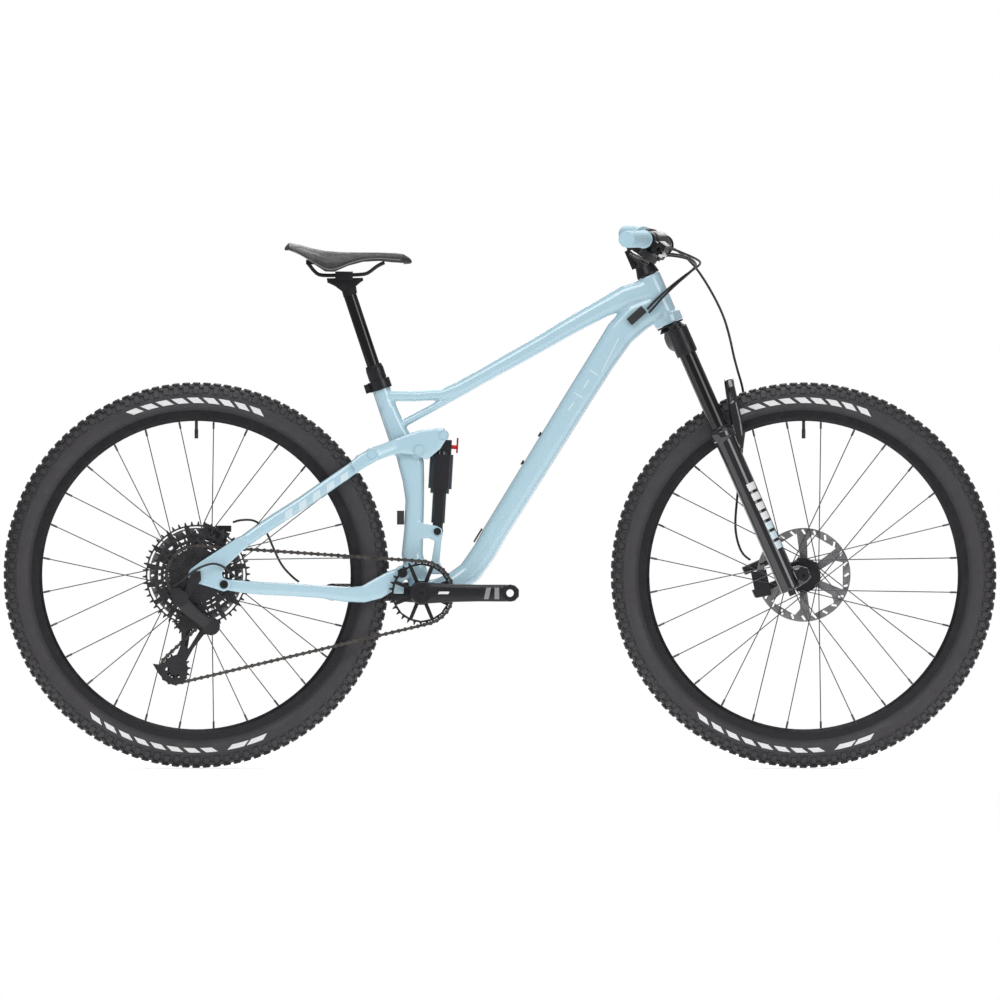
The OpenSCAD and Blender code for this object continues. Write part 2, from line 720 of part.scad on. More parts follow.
// Frame at the right brake lever: X outward along the bar, Y forward and down, Z along the lever's pivot.
module at_lever(y) {
  p = on_bar(y);
  d = unit(bar_tip - bar_kink);
  translate([p[0], -y, p[2]]) rotate([0, -asin(d[2]), atan2(-d[1], d[0])]) rotate([-36.87, 0, 0]) children();
}

// Clamp, master cylinder and reservoir.
module brake_master() {
  color([0.07, 0.07, 0.07]) at_lever(206) difference() {
    union() {
      translate([-7, 0, 0]) rotate([0, 90, 0]) cylinder(h = 14, r = 15);
      translate([-6, 8, -6]) cube([12, 22, 12]);
      translate([-42, 31, 0]) rotate([0, 90, 0]) cylinder(h = 62, r = 8.5);
      translate([-22, 24, 0]) cube([40, 16, 13]);
      translate([10, 26, -8]) cube([14, 16, 16]);
    }
    translate([-40, 0, 0]) rotate([0, 90, 0]) cylinder(h = 60, r = 11.3);
    translate([8, 30, -4.1]) cube([30, 30, 8.2]);
    translate([18, 36, -12]) cylinder(h = 24, r = 2.6);
  }
}

// Curved one-finger blade on its pivot pin.
module brake_blade() {
  color([0.16, 0.16, 0.17]) at_lever(206) union() {
    translate([18, 36, -9]) cylinder(h = 18, r = 2.5);
    translate([0, 0, -4]) linear_extrude(8) polygon([[13, 33], [14, 41], [26, 46], [48, 58], [70, 62], [92, 61], [112, 66],
      [119, 64], [118, 59], [94, 53], [70, 54], [50, 49], [30, 36], [20, 31]]);
  }
}

module brake_blade_right() { brake_blade(); }
module brake_blade_left() { mirror([0, 1, 0]) brake_blade(); }

// Gear shifter under the right side of the bar.
module shifter_body() {
  color([0.08, 0.08, 0.08]) at_lever(182) difference() {
    union() {
      translate([-6, 0, 0]) rotate([0, 90, 0]) cylinder(h = 12, r = 14.5);
      translate([-6, 2, -22]) cube([12, 12, 18]);
      translate([2, 16, -34]) cylinder(h = 14, r = 19);
    }
    translate([-40, 0, 0]) rotate([0, 90, 0]) cylinder(h = 80, r = 11.3);
    translate([2, 16, -50]) cylinder(h = 60, r = 4.1);
  }
}

// One thumb paddle; lift sets its level below the shifter.
module thumb_paddle(level, reach) {
  at_lever(182) union() {
    translate([2, 16, level]) cylinder(h = 6, r = 8);
    translate([0, 0, level]) linear_extrude(4) polygon([[-4, 12], [6, 8], [reach, -14], [reach + 16, -12], [reach + 15, -4],
      [reach + 2, 2], [8, 20]]);
  }
}

module shift_paddle_down() {
  color([0.7, 0.7, 0.72]) difference() {
    thumb_paddle(-41, 22);
    at_lever(182) translate([2, 16, -60]) cylinder(h = 40, r = 4.1);
  }
}

module shift_paddle_up() {
  color([0.12, 0.12, 0.12]) union() {
    thumb_paddle(-48, 12);
    at_lever(182) translate([2, 16, -46]) cylinder(h = 24, r = 4);
  }
}

// Remote for the dropper post under the left side of the bar.
module dropper_remote() {
  color([0.08, 0.08, 0.08]) mirror([0, 1, 0]) at_lever(182) difference() {
    union() {
      translate([-6, 0, 0]) rotate([0, 90, 0]) cylinder(h = 12, r = 14.5);
      translate([-6, 2, -26]) cube([12, 14, 22]);
      translate([0, 14, -28]) cylinder(h = 9, r = 9);
    }
    translate([-40, 0, 0]) rotate([0, 90, 0]) cylinder(h = 80, r = 11.3);
    translate([0, 14, -50]) cylinder(h = 60, r = 3.1);
  }
}

module dropper_paddle() {
  color([0.12, 0.12, 0.12]) mirror([0, 1, 0]) at_lever(182) union() {
    translate([0, 14, -34]) cylinder(h = 14, r = 3);
    translate([0, 0, -34]) linear_extrude(5) polygon([[-8, 18], [4, 22], [22, 4], [44, -8], [44, -22], [28, -20], [4, 2]]);
  }
}

// Stations [x, y, z, half depth] from a leg up to the middle of the arch.
arch_path = [[20, 64, -275, 13], [34, 63, -250, 13], [42, 61, -224, 12], [50, 55, -186, 11], [56, 38, -160, 10],
  [59, 18, -149, 9.5], [60, 0, -146, 9.5]];

// Both lower legs, the arch in front of them and the two dropouts.
module fork_lowers() {
  color([0.07, 0.07, 0.08]) steered() difference() {
    union() {
      for (y = [-leg_y, leg_y]) translate([leg_x, y, -560]) {
        cylinder(h = 330, r = leg_radius);
        translate([0, 0, 318]) cylinder(h = 16.3, r = 23);
      }
      both_sides() loft([for (s = [[10, -65, -548, 17, 9], [24, -64.6, -540, 20, 9], [41.3, -64.6, -540, 18, 9],
        [55, -64.6, -543, 9, 8]]) ring([s[0], s[1], s[2]], [0, 0, -1], [0, 1, 0], s[3], s[4])]);
      loft([for (k = [0:12])
        let(q = arch_path[k < 7 ? k : 12 - k], y = k < 7 ? -q[1] : q[1])
        ring([q[0], y, q[2]], unit([0, y, max(60 - abs(y), 0)]), [1, 0, 0], 8, q[3])]);
      translate([-62, 52.5, -548]) cube([62, 10, 17]);
      translate([-62, 52.5, -500]) cube([62, 10, 17]);
    }
    for (y = [-leg_y, leg_y]) translate([leg_x, y, -478]) cylinder(h = 270, r = stanchion_radius + 0.05);
    translate([axle_drop[0], 90, axle_drop[1]]) rotate([90, 0, 0]) cylinder(h = 180, r = 7.75);
    translate([leg_x, -leg_y, -570]) cylinder(h = 21, r = 4.6);
    translate([leg_x, -leg_y, -575]) cylinder(h = 15, r = 7.5);
  }
}

module fork_seals() {
  color([0.04, 0.04, 0.04]) steered() for (y = [-leg_y, leg_y]) translate([leg_x, y, -225.6]) difference() {
    union() {
      cylinder(h = 4, r = 20.5);
      translate([0, 0, 4]) cylinder(h = 3.5, r1 = 19, r2 = 17.2);
    }
    translate([0, 0, -1]) cylinder(h = 12, r = stanchion_radius + 0.08);
  }
}

module front_axle() {
  color([0.12, 0.12, 0.13]) difference() {
    union() {
      across(front, -76, 76, 7.5);
      across(front, -79, -73.8, 10.5);
    }
    across(front, -82, -74, 3);
  }
}

module rebound_dial() {
  color([0.75, 0.12, 0.12]) steered() translate([leg_x, -leg_y, -570]) union() {
    cylinder(h = 9.9, r = 7);
    translate([0, 0, 9]) cylinder(h = 10, r = 4.5);
  }
}

// Two-piston caliper that straddles a disc at y = 0; X points away from the disc's centre.
module caliper() {
  difference() {
    union() {
      translate([-13, -12, -25]) cube([30, 26, 50]);
      translate([0, -12.5, -2]) rotate([-90, 0, 0]) cylinder(h = 29.5, r = 12);
    }
    translate([-30, -1.6, -40]) cube([42, 3.2, 80]);
  }
}

module front_caliper() {
  color([0.07, 0.07, 0.07]) steered() difference() {
    translate([axle_drop[0], 39, axle_drop[1]]) rotate([0, -168, 0]) translate([81, 0, 0]) caliper();
    translate([-80, 52.4, -570]) cube([90, 20, 120]);
  }
}

module rear_caliper() {
  color([0.07, 0.07, 0.07]) union() {
    translate([rear[0], 58.7, rear[1]]) rotate([0, -66, 0]) translate([81, 0, 0]) caliper();
    translate([-545, 66, 452]) cube([30, 8.5, 12]);
  }
}

// ---------- Drivetrain ----------

function pitch_radius(n) = pitch / 2 / sin(180 / n);
function angle_of(v) = atan2(v[1], v[0]);
function left_of(a) = [-sin(a), cos(a)];
function wrap(a) = a - 360 * floor(a / 360);

// Chain loop: centres, teeth, and +1 for a clockwise sprocket or -1 for an anticlockwise one.
loop = [[bb, 30, 1], [tension, 14, 1], [guide, 12, -1], [rear, cog_teeth[chain_cog], 1]];
radii = [for (s = loop) s[2] * pitch_radius(s[1])];

// Direction and length of the free run that leaves sprocket i.
function run_angle(i) = let(j = (i + 1) % 4, d = loop[j][0] - loop[i][0], e = radii[j] - radii[i])
  angle_of(d) + atan2(e, sqrt(d * d - e * e));
function run_length(i) = let(j = (i + 1) % 4, d = loop[j][0] - loop[i][0], e = radii[j] - radii[i]) sqrt(d * d - e * e);
function arc(i) = wrap(loop[i][2] * (run_angle((i + 3) % 4) - run_angle(i)));
function engaged(i) = floor(arc(i) / (360 / loop[i][1])) + 1;
function spare(i) = (arc(i) - (engaged(i) - 1) * 360 / loop[i][1]) / 2;

// Place on sprocket i at t degrees of wrap from where the chain arrives.
function on_sprocket(i, t) =
  let(a = run_angle((i + 3) % 4) - loop[i][2] * t) loop[i][0] + radii[i] * left_of(a);
function spare_length(i) = spare(i) * abs(radii[i]) * PI / 180;
function path_length(i) = spare_length(i) + run_length(i) + spare_length((i + 1) % 4);
function free_links(i) = round(path_length(i) / pitch);

// Place on the way from the last roller on sprocket i to the first on the next, s millimetres along.
function on_run(i, s) = let(j = (i + 1) % 4, a = spare_length(i), b = a + run_length(i), k = 180 / PI)
  s < a ? on_sprocket(i, arc(i) - spare(i) + s / abs(radii[i]) * k) :
  s > b ? on_sprocket(j, (s - b) / abs(radii[j]) * k) :
  on_sprocket(i, arc(i)) + (s - a) * [cos(run_angle(i)), sin(run_angle(i))];

rollers = [for (i = [0:3]) each concat(
  [for (k = [0:engaged(i) - 1]) on_sprocket(i, spare(i) + k * 360 / loop[i][1])],
  [for (k = [1:free_links(i) - 1]) on_run(i, path_length(i) * k / free_links(i))])];

// Polar angle of a tooth gap on sprocket i, in its own drawing.
function gap_angle(i) = angle_of(on_sprocket(i, spare(i)) - loop[i][0]);

// Outline of a sprocket with n teeth and a tooth gap at the given angle.
module teeth(n, gap_at, height = 2.4) {
  r = pitch_radius(n);
  q = 360 / n;
  polygon([for (k = [0:n - 1], s = [[-2.7, -4.2], [-0.9, height], [0.9, height], [2.7, -4.2]])
    let(a = gap_at + (k + 0.5) * q) (r + s[1]) * [cos(a), sin(a)] + s[0] * [-sin(a), cos(a)]]);
}

// Two side plates between chain axes that are d apart.
module link_plates(d, y, thickness) {
  for (side = [-1, 1]) translate([0, 0, side * y - thickness / 2]) linear_extrude(thickness) union() {
    circle(r = chain_plate_height / 2, $fn = 16);
    translate([d, 0]) circle(r = chain_plate_height / 2, $fn = 16);
    translate([0, 1.5 - chain_plate_height / 2]) square([d, chain_plate_height - 3]);
  }
}

module inner_link(d) {
  difference() {
    union() {
      link_plates(d, 1.5, 0.7);
      for (x = [0, d]) translate([x, 0, -1.3]) cylinder(h = 2.6, r = 3.7, $fn = 16);
    }
    for (x = [0, d]) translate([x, 0, -3]) cylinder(h = 6, r = 1.9, $fn = 16);
  }
}

module outer_link(d) {
  link_plates(d, 2.25, 0.7);
  for (x = [0, d]) translate([x, 0, -2.3]) cylinder(h = 4.6, r = 1.8, $fn = 12);
}

module chain() {
  n = len(rollers);
  color([0.3, 0.28, 0.25]) for (k = [0:n - 1]) {
    p = rollers[k];
    d = rollers[(k + 1) % n] - p;
    translate([p[0], chain_y, p[1]]) rotate([90, 0, 0]) rotate(angle_of(d)) {
      if (k % 2 == 0) inner_link(norm(d));
      if (k % 2 == 1) outer_link(norm(d));
    }
  }
}

// Single chainring with eight windows and a thick centre.
module chainring() {
  color([0.1, 0.1, 0.1]) on_axis(bb, chain_y + 0.8) difference() {
    union() {
      linear_extrude(1.6) difference() {
        teeth(30, gap_angle(0));
        for (k = [0:7]) rotate(45 * k) polygon([[23, -5.5], [50, -17], [53.5, 0], [50, 17], [23, 5.5]]);
      }
      cylinder(h = 9.6, r = 21);
    }
    translate([0, 0, -1]) cylinder(h = 14, r = 14.6);
  }
}

// Crank arm that points along +X from the crank axis; its outer face is toward +Z.
module crank_arm() {
  loft([for (s = [[-20, 12, 8, 66.5], [-8, 21, 8.5, 66.5], [18, 20, 8, 67], [60, 17.5, 7.5, 70], [110, 16.3, 7, 74],
    [crank_length - 6, 16.5, 6.5, 77], [crank_length + 9, 15.5, 6.5, 77.5], [crank_length + 17, 7, 6, 77.5]])
    ring([s[0], 0, s[3]], [0, 1, 0], [0, 0, 1], s[1], s[2])]);
  translate([0, 0, 58.3]) cylinder(h = 17, r = 21);
  translate([crank_length, 0, 70.8]) cylinder(h = 13.2, r = 16.5);
}

module crank_right() {
  color([0.07, 0.07, 0.07]) on_axis(bb) difference() {
    crank_arm();
    translate([0, 0, 50]) cylinder(h = 22, r = 14.6);
    translate([0, 0, 50]) cylinder(h = 30, r = 6);
    translate([crank_length, 0, 60]) cylinder(h = 30, r = 7.15);
  }
}

module crank_left() {
  color([0.07, 0.07, 0.07]) on_axis(bb) rotate([180, 0, 180]) difference() {
    union() {
      crank_arm();
      translate([0, 0, -71]) cylinder(h = 140, r = 14.5);
    }
    translate([0, 0, -90]) cylinder(h = 180, r = 6);
    translate([crank_length, 0, 60]) cylinder(h = 30, r = 7.15);
  }
}

module crank_bolt() {
  color([0.15, 0.15, 0.15]) on_axis(bb) difference() {
    union() {
      translate([0, 0, 75.4]) cylinder(h = 2.2, r = 11);
      translate([0, 0, 60]) cylinder(h = 16, r = 5.9);
    }
    translate([0, 0, 74]) cylinder(h = 5, r = 4.6, $fn = 6);
  }
}

// Slots round a cog, between its toothed edge and the next smaller cog.
module cog_slots(r_in, r_out, count) {
  a = 130 / count;
  for (k = [0:count - 1]) rotate(360 / count * k) polygon([[r_in * cos(a), -r_in * sin(a)],
    [r_out * cos(a), -r_out * sin(a)], [r_out, 0], [r_out * cos(a), r_out * sin(a)], [r_in * cos(a), r_in * sin(a)]]);
}

// Flat outline of cog i. The larger cogs are rings, and the largest carries them on six arms.
module cog(i) {
  r = pitch_radius(cog_teeth[i]);
  r_next = i > 0 ? pitch_radius(cog_teeth[i - 1]) : 0;
  difference() {
    teeth(cog_teeth[i], i == chain_cog ? gap_angle(3) : 7 * i);
    if (i > 7) cog_slots(r_next - 5.4, r - 7.2, i > 9 ? 16 : 12);
    if (i > 4 && i < 11) circle(r = r_next - 10);
    if (i == 11) for (k = [0:5]) rotate(60 * k) polygon([[24, -8], [70, -26], [r_next - 11, 0], [70, 26], [24, 8]]);
  }
}

// Twelve cogs, smallest outermost, joined by stepped rings, on the freehub body.
module cassette() {
  color([0.16, 0.16, 0.17]) on_axis(rear) difference() {
    union() {
      for (i = [0:11]) translate([0, 0, 72.5 - i * cog_spacing - sprocket_thickness / 2])
        linear_extrude(sprocket_thickness) cog(i);
      for (i = [1:11]) translate([0, 0, 72.5 - i * cog_spacing]) difference() {
        cylinder(h = cog_spacing, r = pitch_radius(cog_teeth[i - 1]) - 6);
        if (i > 4) translate([0, 0, -1]) cylinder(h = 9, r = pitch_radius(cog_teeth[i - 1]) - 9);
      }
      translate([0, 0, 32]) cylinder(h = 41.9, r = 14.5);
    }
    translate([0, 0, 20]) cylinder(h = 80, r = 6.1);
  }
}

// Replaceable hanger outside the right dropout.
module hanger() {
  color([0.1, 0.1, 0.1]) difference() {
    plate([[-574, 379], [-590, 379], [-596, 366], [-603, 342], [-622, 332], [-622, 321], [-611, 315], [-600, 320],
      [-590, 338], [-573, 362]], -93, -87.4);
    across(b_knuckle, -99, -80, 5.1);
    across([rear[0], rear[1]], -100, -92, 3);
  }
}

// Knuckle that bolts to the hanger and the fixed parallelogram down to the cage pivot.
module derailleur_body() {
  color([0.08, 0.08, 0.08]) difference() {
    union() {
      across(b_knuckle, -104, -93.2, 15);
      across(b_knuckle, -93.4, -87.6, 5);
      plate([[-630, 330], [-631, 346], [-616, 347], [-604, 338], [-598, 318], [-624, 312]], -104, -93.4);
      across(p_knuckle, -77, -57.5, 17.5);
      loft([for (s = [[-618, -99, 330, 12, 4.5], [-604, -96, 314, 13, 5], [-580, -84, 292, 12, 5.5],
        [-562, -72, 279, 13, 6.5], [-554, -68, 274, 13, 7]])
        ring([s[0], s[1], s[2]], unit([0.7, 0, 0.7]), [0, -1, 0], s[3], s[4])]);
    }
    across(p_knuckle, -70, -50, 6.1);
  }
}

// Two cage plates that hold the pulleys, on the pivot pin.
module derailleur_cage() {
  color([0.08, 0.08, 0.08]) {
    difference() {
      plate([[-560, 284], [-545, 279], [-541, 268], [-546, 261], [-568, 256], [-588, 230], [-601, 206], [-600, 172],
        [-612, 163], [-627, 160], [-643, 168], [-656, 184], [-666, 201], [-650, 199], [-640, 206], [-630, 215],
        [-619, 219], [-611, 240], [-611, 262], [-616, 282], [-610, 294], [-597, 296], [-585, 290]], -57.3, -54.8);
      plate([[-601, 264], [-584, 270], [-576, 264], [-597, 230], [-604, 236]], -60, -50);
      for (a = [185:35:290]) across(tension + 15 * [cos(a), sin(a)], -60, -50, 3.6);
    }
    across(p_knuckle, -69.5, -55, 6);
    across(guide, -56, -41.8, 3);
    across(tension, -56, -41.8, 3);
    plate([[-597, 294], [-610, 292], [-615, 281], [-606, 250], [-618, 214], [-634, 204], [-638, 190], [-631, 176],
      [-615, 176], [-607, 190], [-597, 240], [-591, 280]], -43.3, -41.6);
  }
}

module pulley(i, y) {
  color([0.1, 0.1, 0.1]) on_axis(loop[i][0], y + 1) difference() {
    union() {
      linear_extrude(2) difference() {
        teeth(loop[i][1], gap_angle(i), 2);
        for (k = [0:5]) rotate(60 * k) translate([pitch_radius(loop[i][1]) * 0.58, 0]) circle(r = 3.4);
      }
      translate([0, 0, -3]) cylinder(h = 8, r = 7);
    }
    translate([0, 0, -9]) cylinder(h = 20, r = 3.08);
  }
}

module guide_pulley() { pulley(2, chain_y); }
module tension_pulley() { pulley(1, chain_y); }

// ---------- Seat ----------

module dropper_inner() {
  color([0.16, 0.16, 0.17]) posted() difference() {
    translate([0, 0, 22]) cylinder(h = 186, r = 12.5);
    translate([0, 0, 20]) cylinder(h = 180, r = 10.5);
  }
}

// Cradle on the post head and the two halves that grip the rails.
module saddle_clamp() {
  color([0.06, 0.06, 0.06]) union() {
    posted() translate([0, 0, 208.1]) cylinder(h = 6, r = 12);
    difference() {
      plate([[-332, 939], [-331, 931], [-316, 924], [-303, 914], [-300, 903], [-274, 911], [-276, 924], [-268, 931],
        [-262, 935], [-263, 940]], -15, 15);
      posted() cylinder(h = 208.1, r = 12.6);
    }
    difference() {
      translate([-316, -27, 936]) cube([34, 54, 16]);
      both_sides() rod([-340, -22, 944.4], [-260, -22, 946.4], 3.7);
    }
  }
}

// Two steel rails bent from one wire each.
module saddle_rails() {
  color([0.12, 0.12, 0.12]) both_sides() hose([[-222, -12, 969], [-236, -16, 962], [-254, -20.5, 949], [-272, -22, 946.1],
    [-300, -22, 945.4], [-335, -22, 944.6], [-352, -24, 949], [-368, -30, 968]], 3.5, 3);
}

// Stations [x, z, height, width, droop of the sides] from tail to nose.
saddle_path = [[-413, 995, 6, 36, 1], [-405, 1000, 15, 98, 3], [-380, 993.5, 18, 136, 8], [-358, 985, 24, 142, 15],
  [-335, 976, 34, 130, 20], [-318, 974, 35, 114, 18], [-290, 976.5, 27, 84, 8], [-262, 979, 21.5, 62, 3],
  [-231, 979.8, 20, 50, 2], [-206, 977.3, 22.5, 44, 2], [-185, 975.8, 20, 36, 2], [-173, 972.5, 12, 22, 1],
  [-169, 971, 5, 10, 0]];

function saddle_ring(q, shrink, drop) = [for (i = [0:ring_points - 1])
  let(t = i * 360 / ring_points, w = (q[3] / 2 - shrink) * saddle_half_width / 71, h = q[2] / 2 - shrink)
  [q[0], w * cos(t), q[1] - drop + h * sin(t) - q[4] * cos(t) * cos(t)]];

// Padded cover over the shell.
module saddle_cover() {
  color([0.05, 0.05, 0.05]) difference() {
    loft([for (q = saddle_path) saddle_ring(q, 0, 0)]);
    loft([for (k = [1:len(saddle_path) - 3]) saddle_ring(saddle_path[k], 2, 6 + saddle_path[k][2] / 4)]);
  }
}

// Stiff shell under the padding, with sockets for the rails.
module saddle_shell() {
  color([0.08, 0.08, 0.08]) union() {
    translate([-372, -34, 966]) cube([16, 68, 8]);
  }
}

// ---------- Cables ----------

module cables_to_frame() {
  color([0.05, 0.05, 0.05]) {
    hose([[321, -164, 998], [334, -148, 996], [356, -124, 987], [375, -98, 978], [384, -74, 970], [377, -53, 961],
      [352, -38, 943], [322, -31, 919], [296, -28, 895], [282, -27, 880]], 2.5);
    hose([[306, -150, 984], [330, -138, 984], [356, -116, 979], [372, -90, 971], [375, -68, 962], [362, -50, 949],
      [338, -37, 928], [310, -30, 901], [292, -27.4, 880], [285, -27, 873]], 2.3);
    hose([[306, 150, 984], [330, 138, 984], [356, 116, 979], [372, 90, 971], [375, 68, 962], [362, 50, 949],
      [338, 37, 928], [310, 30, 901], [292, 27.4, 880], [285, 27, 873]], 2.3);
  }
}

module brake_hose_rear() {
  color([0.05, 0.05, 0.05]) hose([[-512, 66, 470], [-500, 64, 474], [-478, 62, 475], [-462, 60, 468], [-446, 60, 448],
    [-434, 62, 420], [-418, 64, 388], [-398, 65, 366], [-385, 65, 356]], 2.4);
}

module derailleur_cable() {
  color([0.05, 0.05, 0.05]) hose([[-500, -79, 365], [-511, -85, 371], [-528, -92.6, 386], [-552, -98, 393.5],
    [-583, -102, 382], [-606, -104, 364], [-628, -101, 349]], 2.4);
}

// ---------- Nodes made of several separate parts ----------

module frame_bolts() {
  bottle_bolts();
  seat_clamp_bolt();
  main_pivot_axle();
  shock_foot_bolt();
}

module frame_covers() {
  down_tube_plug();
  mount_cover();
  cable_ports();
}

module bearing_cups() {
  headset_cups();
  bottom_bracket();
}

module post_collar() {
  seat_clamp();
  dropper_outer();
}

module stay_axles() {
  rear_axle();
  horst_bolts();
}

module derailleur() {
  hanger();
  derailleur_body();
}

module cockpit_hardware() {
  stem_spacer();
  stem_faceplate();
  stem_bolts();
  top_cap();
  fork_air_cap();
}

module grips() {
  both_sides() grip();
}

module brake_masters() {
  both_sides() brake_master();
}

module thumb_controls() {
  shifter_body();
  dropper_remote();
}

module fork_hardware() {
  fork_seals();
  front_axle();
}

// Hose from the left lever, round the front of the arch and down to the caliper.
module brake_hose_front() {
  color([0.05, 0.05, 0.05]) hose([[321, 164, 998], [340, 146, 990], [372, 114, 962], [403, 86, 916], [428, 62, 866],
    [441, 42, 822], [448, 33, 790], [456, 32, 760], [464, 38, 732], [469, 52, 700], [470, 72, 660], [464, 86, 610],
    [456, 88, 530], [451, 86, 460], [462, 78, 415], [480, 62, 398]], 2.5);
}

module rear_cables() {
  brake_hose_rear();
  derailleur_cable();
}

module front_wheel_hardware() {
  valve(front);
  rotor_bolts(front, 39);
}

module rear_wheel_hardware() {
  valve(rear);
  rotor_bolts(rear, 58.7);
}

module chainring_and_bolt() {
  chainring();
  crank_bolt();
}

module saddle_cradle() {
  saddle_clamp();
  saddle_shell();
}

front_frame();
frame_bolts();
frame_covers();
bearing_cups();
post_collar();
cables_to_frame();
chainstay();
seatstay();
stay_axles();
rear_caliper();
derailleur();
rear_cables();
rocker();
rocker_bolts();
shock_shaft();
shock_body();
shock_lever();
fork_crown();
stanchions();
cockpit_hardware();
fork_dial();
stem();
handlebar();
grips();
brake_masters();
brake_blade_right();
brake_blade_left();
thumb_controls();
shift_paddle_down();
shift_paddle_up();
dropper_paddle();
fork_lowers();
fork_hardware();
front_caliper();
rebound_dial();
brake_hose_front();
front_tyre();
front_rim();
front_spokes();
front_hub();
front_rotor();
front_wheel_hardware();
rear_tyre();
rear_rim();
rear_spokes();
rear_hub();
rear_rotor();
rear_wheel_hardware();
cassette();
crank_right();
chainring_and_bolt();
crank_left();
chain();
derailleur_cage();
guide_pulley();
tension_pulley();
dropper_inner();
saddle_cradle();
saddle_rails();
saddle_cover();
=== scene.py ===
import json
import math
import random

import bmesh
import bpy
import numpy as np
from mathutils import Matrix, Vector
from mathutils.bvhtree import BVHTree


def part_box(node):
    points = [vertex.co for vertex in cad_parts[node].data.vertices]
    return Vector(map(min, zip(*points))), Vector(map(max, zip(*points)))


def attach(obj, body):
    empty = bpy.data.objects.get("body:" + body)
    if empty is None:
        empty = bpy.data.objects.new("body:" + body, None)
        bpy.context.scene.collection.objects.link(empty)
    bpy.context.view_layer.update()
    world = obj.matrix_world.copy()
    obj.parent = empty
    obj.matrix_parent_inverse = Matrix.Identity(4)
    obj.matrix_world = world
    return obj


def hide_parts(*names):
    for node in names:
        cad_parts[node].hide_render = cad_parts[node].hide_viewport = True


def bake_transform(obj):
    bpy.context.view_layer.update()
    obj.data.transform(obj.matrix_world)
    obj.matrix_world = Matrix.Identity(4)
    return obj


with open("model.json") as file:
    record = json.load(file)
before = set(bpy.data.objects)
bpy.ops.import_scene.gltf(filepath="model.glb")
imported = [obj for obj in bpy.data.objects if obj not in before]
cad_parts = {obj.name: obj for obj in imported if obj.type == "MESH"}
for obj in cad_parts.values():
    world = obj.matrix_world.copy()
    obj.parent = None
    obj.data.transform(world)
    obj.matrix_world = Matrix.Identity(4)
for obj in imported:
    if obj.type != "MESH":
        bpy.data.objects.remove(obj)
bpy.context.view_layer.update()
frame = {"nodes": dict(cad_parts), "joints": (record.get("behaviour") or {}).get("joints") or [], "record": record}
NODES = frame["nodes"]
BODY_OF = {n: b for b, ns in frame["record"]["behaviour"]["bodies"].items() for n in ns}
JOINTS = {j["name"]: j for j in frame["joints"]}
random.seed(7)
MM = 0.001

# Sizes of the visual details, in metres
FRONT = Vector(JOINTS["front_wheel_spin"]["pos_m"])
REAR = Vector(JOINTS["rear_wheel_spin"]["pos_m"])
TYRE_RADIUS = FRONT.z
TYRE_HALF_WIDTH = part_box("front_tyre")[1].y
BEAD = 144


# ---------- Mesh helpers ----------

def link(obj):
    bpy.context.scene.collection.objects.link(obj)
    return obj


def mesh_piece(name, points, faces, smooth=True):
    """New object from plain lists of points and faces."""
    mesh = bpy.data.meshes.new(name)
    mesh.from_pydata([tuple(p) for p in points], [], [tuple(f) for f in faces])
    mesh.validate()
    mesh.update()
    mesh.polygons.foreach_set("use_smooth", [smooth] * len(mesh.polygons))
    return link(bpy.data.objects.new(name, mesh))


def modifier(obj, kind, **values):
    m = obj.modifiers.new(kind.lower(), kind)
    for key, value in values.items():
        setattr(m, key, value)
    return m


def bake(obj):
    """Applies every modifier, so that the finished mesh is what rides."""
    graph = bpy.context.evaluated_depsgraph_get()
    mesh = bpy.data.meshes.new_from_object(obj.evaluated_get(graph))
    obj.modifiers.clear()
    obj.data = mesh
    return obj


def copy_of(node, name):
    """Copy of a CAD node with its split edges joined again."""
    obj = link(bpy.data.objects.new(name, NODES[node].data.copy()))
    modifier(obj, "WELD", merge_threshold=0.02 * MM)
    return bake(obj)


def melted(node, name, voxel=1.8, rounds=8, sleeve=None):
    """Copy of a CAD node with its joins run together like welds, and its flats rounded."""
    obj = copy_of(node, name)
    if sleeve:
        build = bmesh.new()
        build.from_mesh(obj.data)
        build.from_mesh(sleeve)
        build.to_mesh(obj.data)
        build.free()
    modifier(obj, "REMESH", mode="VOXEL", voxel_size=voxel * MM)
    modifier(obj, "SMOOTH", factor=0.5, iterations=rounds)
    bake(obj)
    obj.data.polygons.foreach_set("use_smooth", [True] * len(obj.data.polygons))
    return obj


def seat_sleeve():
    """Liner that thickens the thin wall round the seat post before the frame is run together."""
    axis = Vector(JOINTS["seat_drop"]["axis"]).normalized()
    post = NODES["dropper_inner"].data.vertices
    lowest = min(v.co.z for v in post)
    end_ring = [v.co for v in post if v.co.z < lowest + 0.012]
    foot = sum(end_ring, Vector()) / len(end_ring)
    bottom = foot + axis * ((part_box("post_collar")[0].z - foot.z) / axis.z)
    side = axis.cross(Vector((0, 1, 0))).normalized()
    points, faces = [], []
    steps = 48
    outline = ((0.0140, -0.004), (0.0166, -0.004), (0.0166, 0.127), (0.0140, 0.127))
    for k in range(steps):
        a = 2 * math.pi * k / steps
        for r, rise in outline:
            round_axis = side * r * math.cos(a) + Vector((0, r * math.sin(a), 0))
            points.append(bottom - axis * rise + round_axis)
    for k in range(steps):
        for i in range(4):
            m, j = (k + 1) % steps, (i + 1) % 4
            faces.append((k * 4 + i, k * 4 + j, m * 4 + j, m * 4 + i))
    mesh = bpy.data.meshes.new("sleeve")
    mesh.from_pydata([tuple(q) for q in points], [], faces)
    build = bmesh.new()
    build.from_mesh(mesh)
    bmesh.ops.recalc_face_normals(build, faces=build.faces)
    build.to_mesh(mesh)
    build.free()
    return mesh


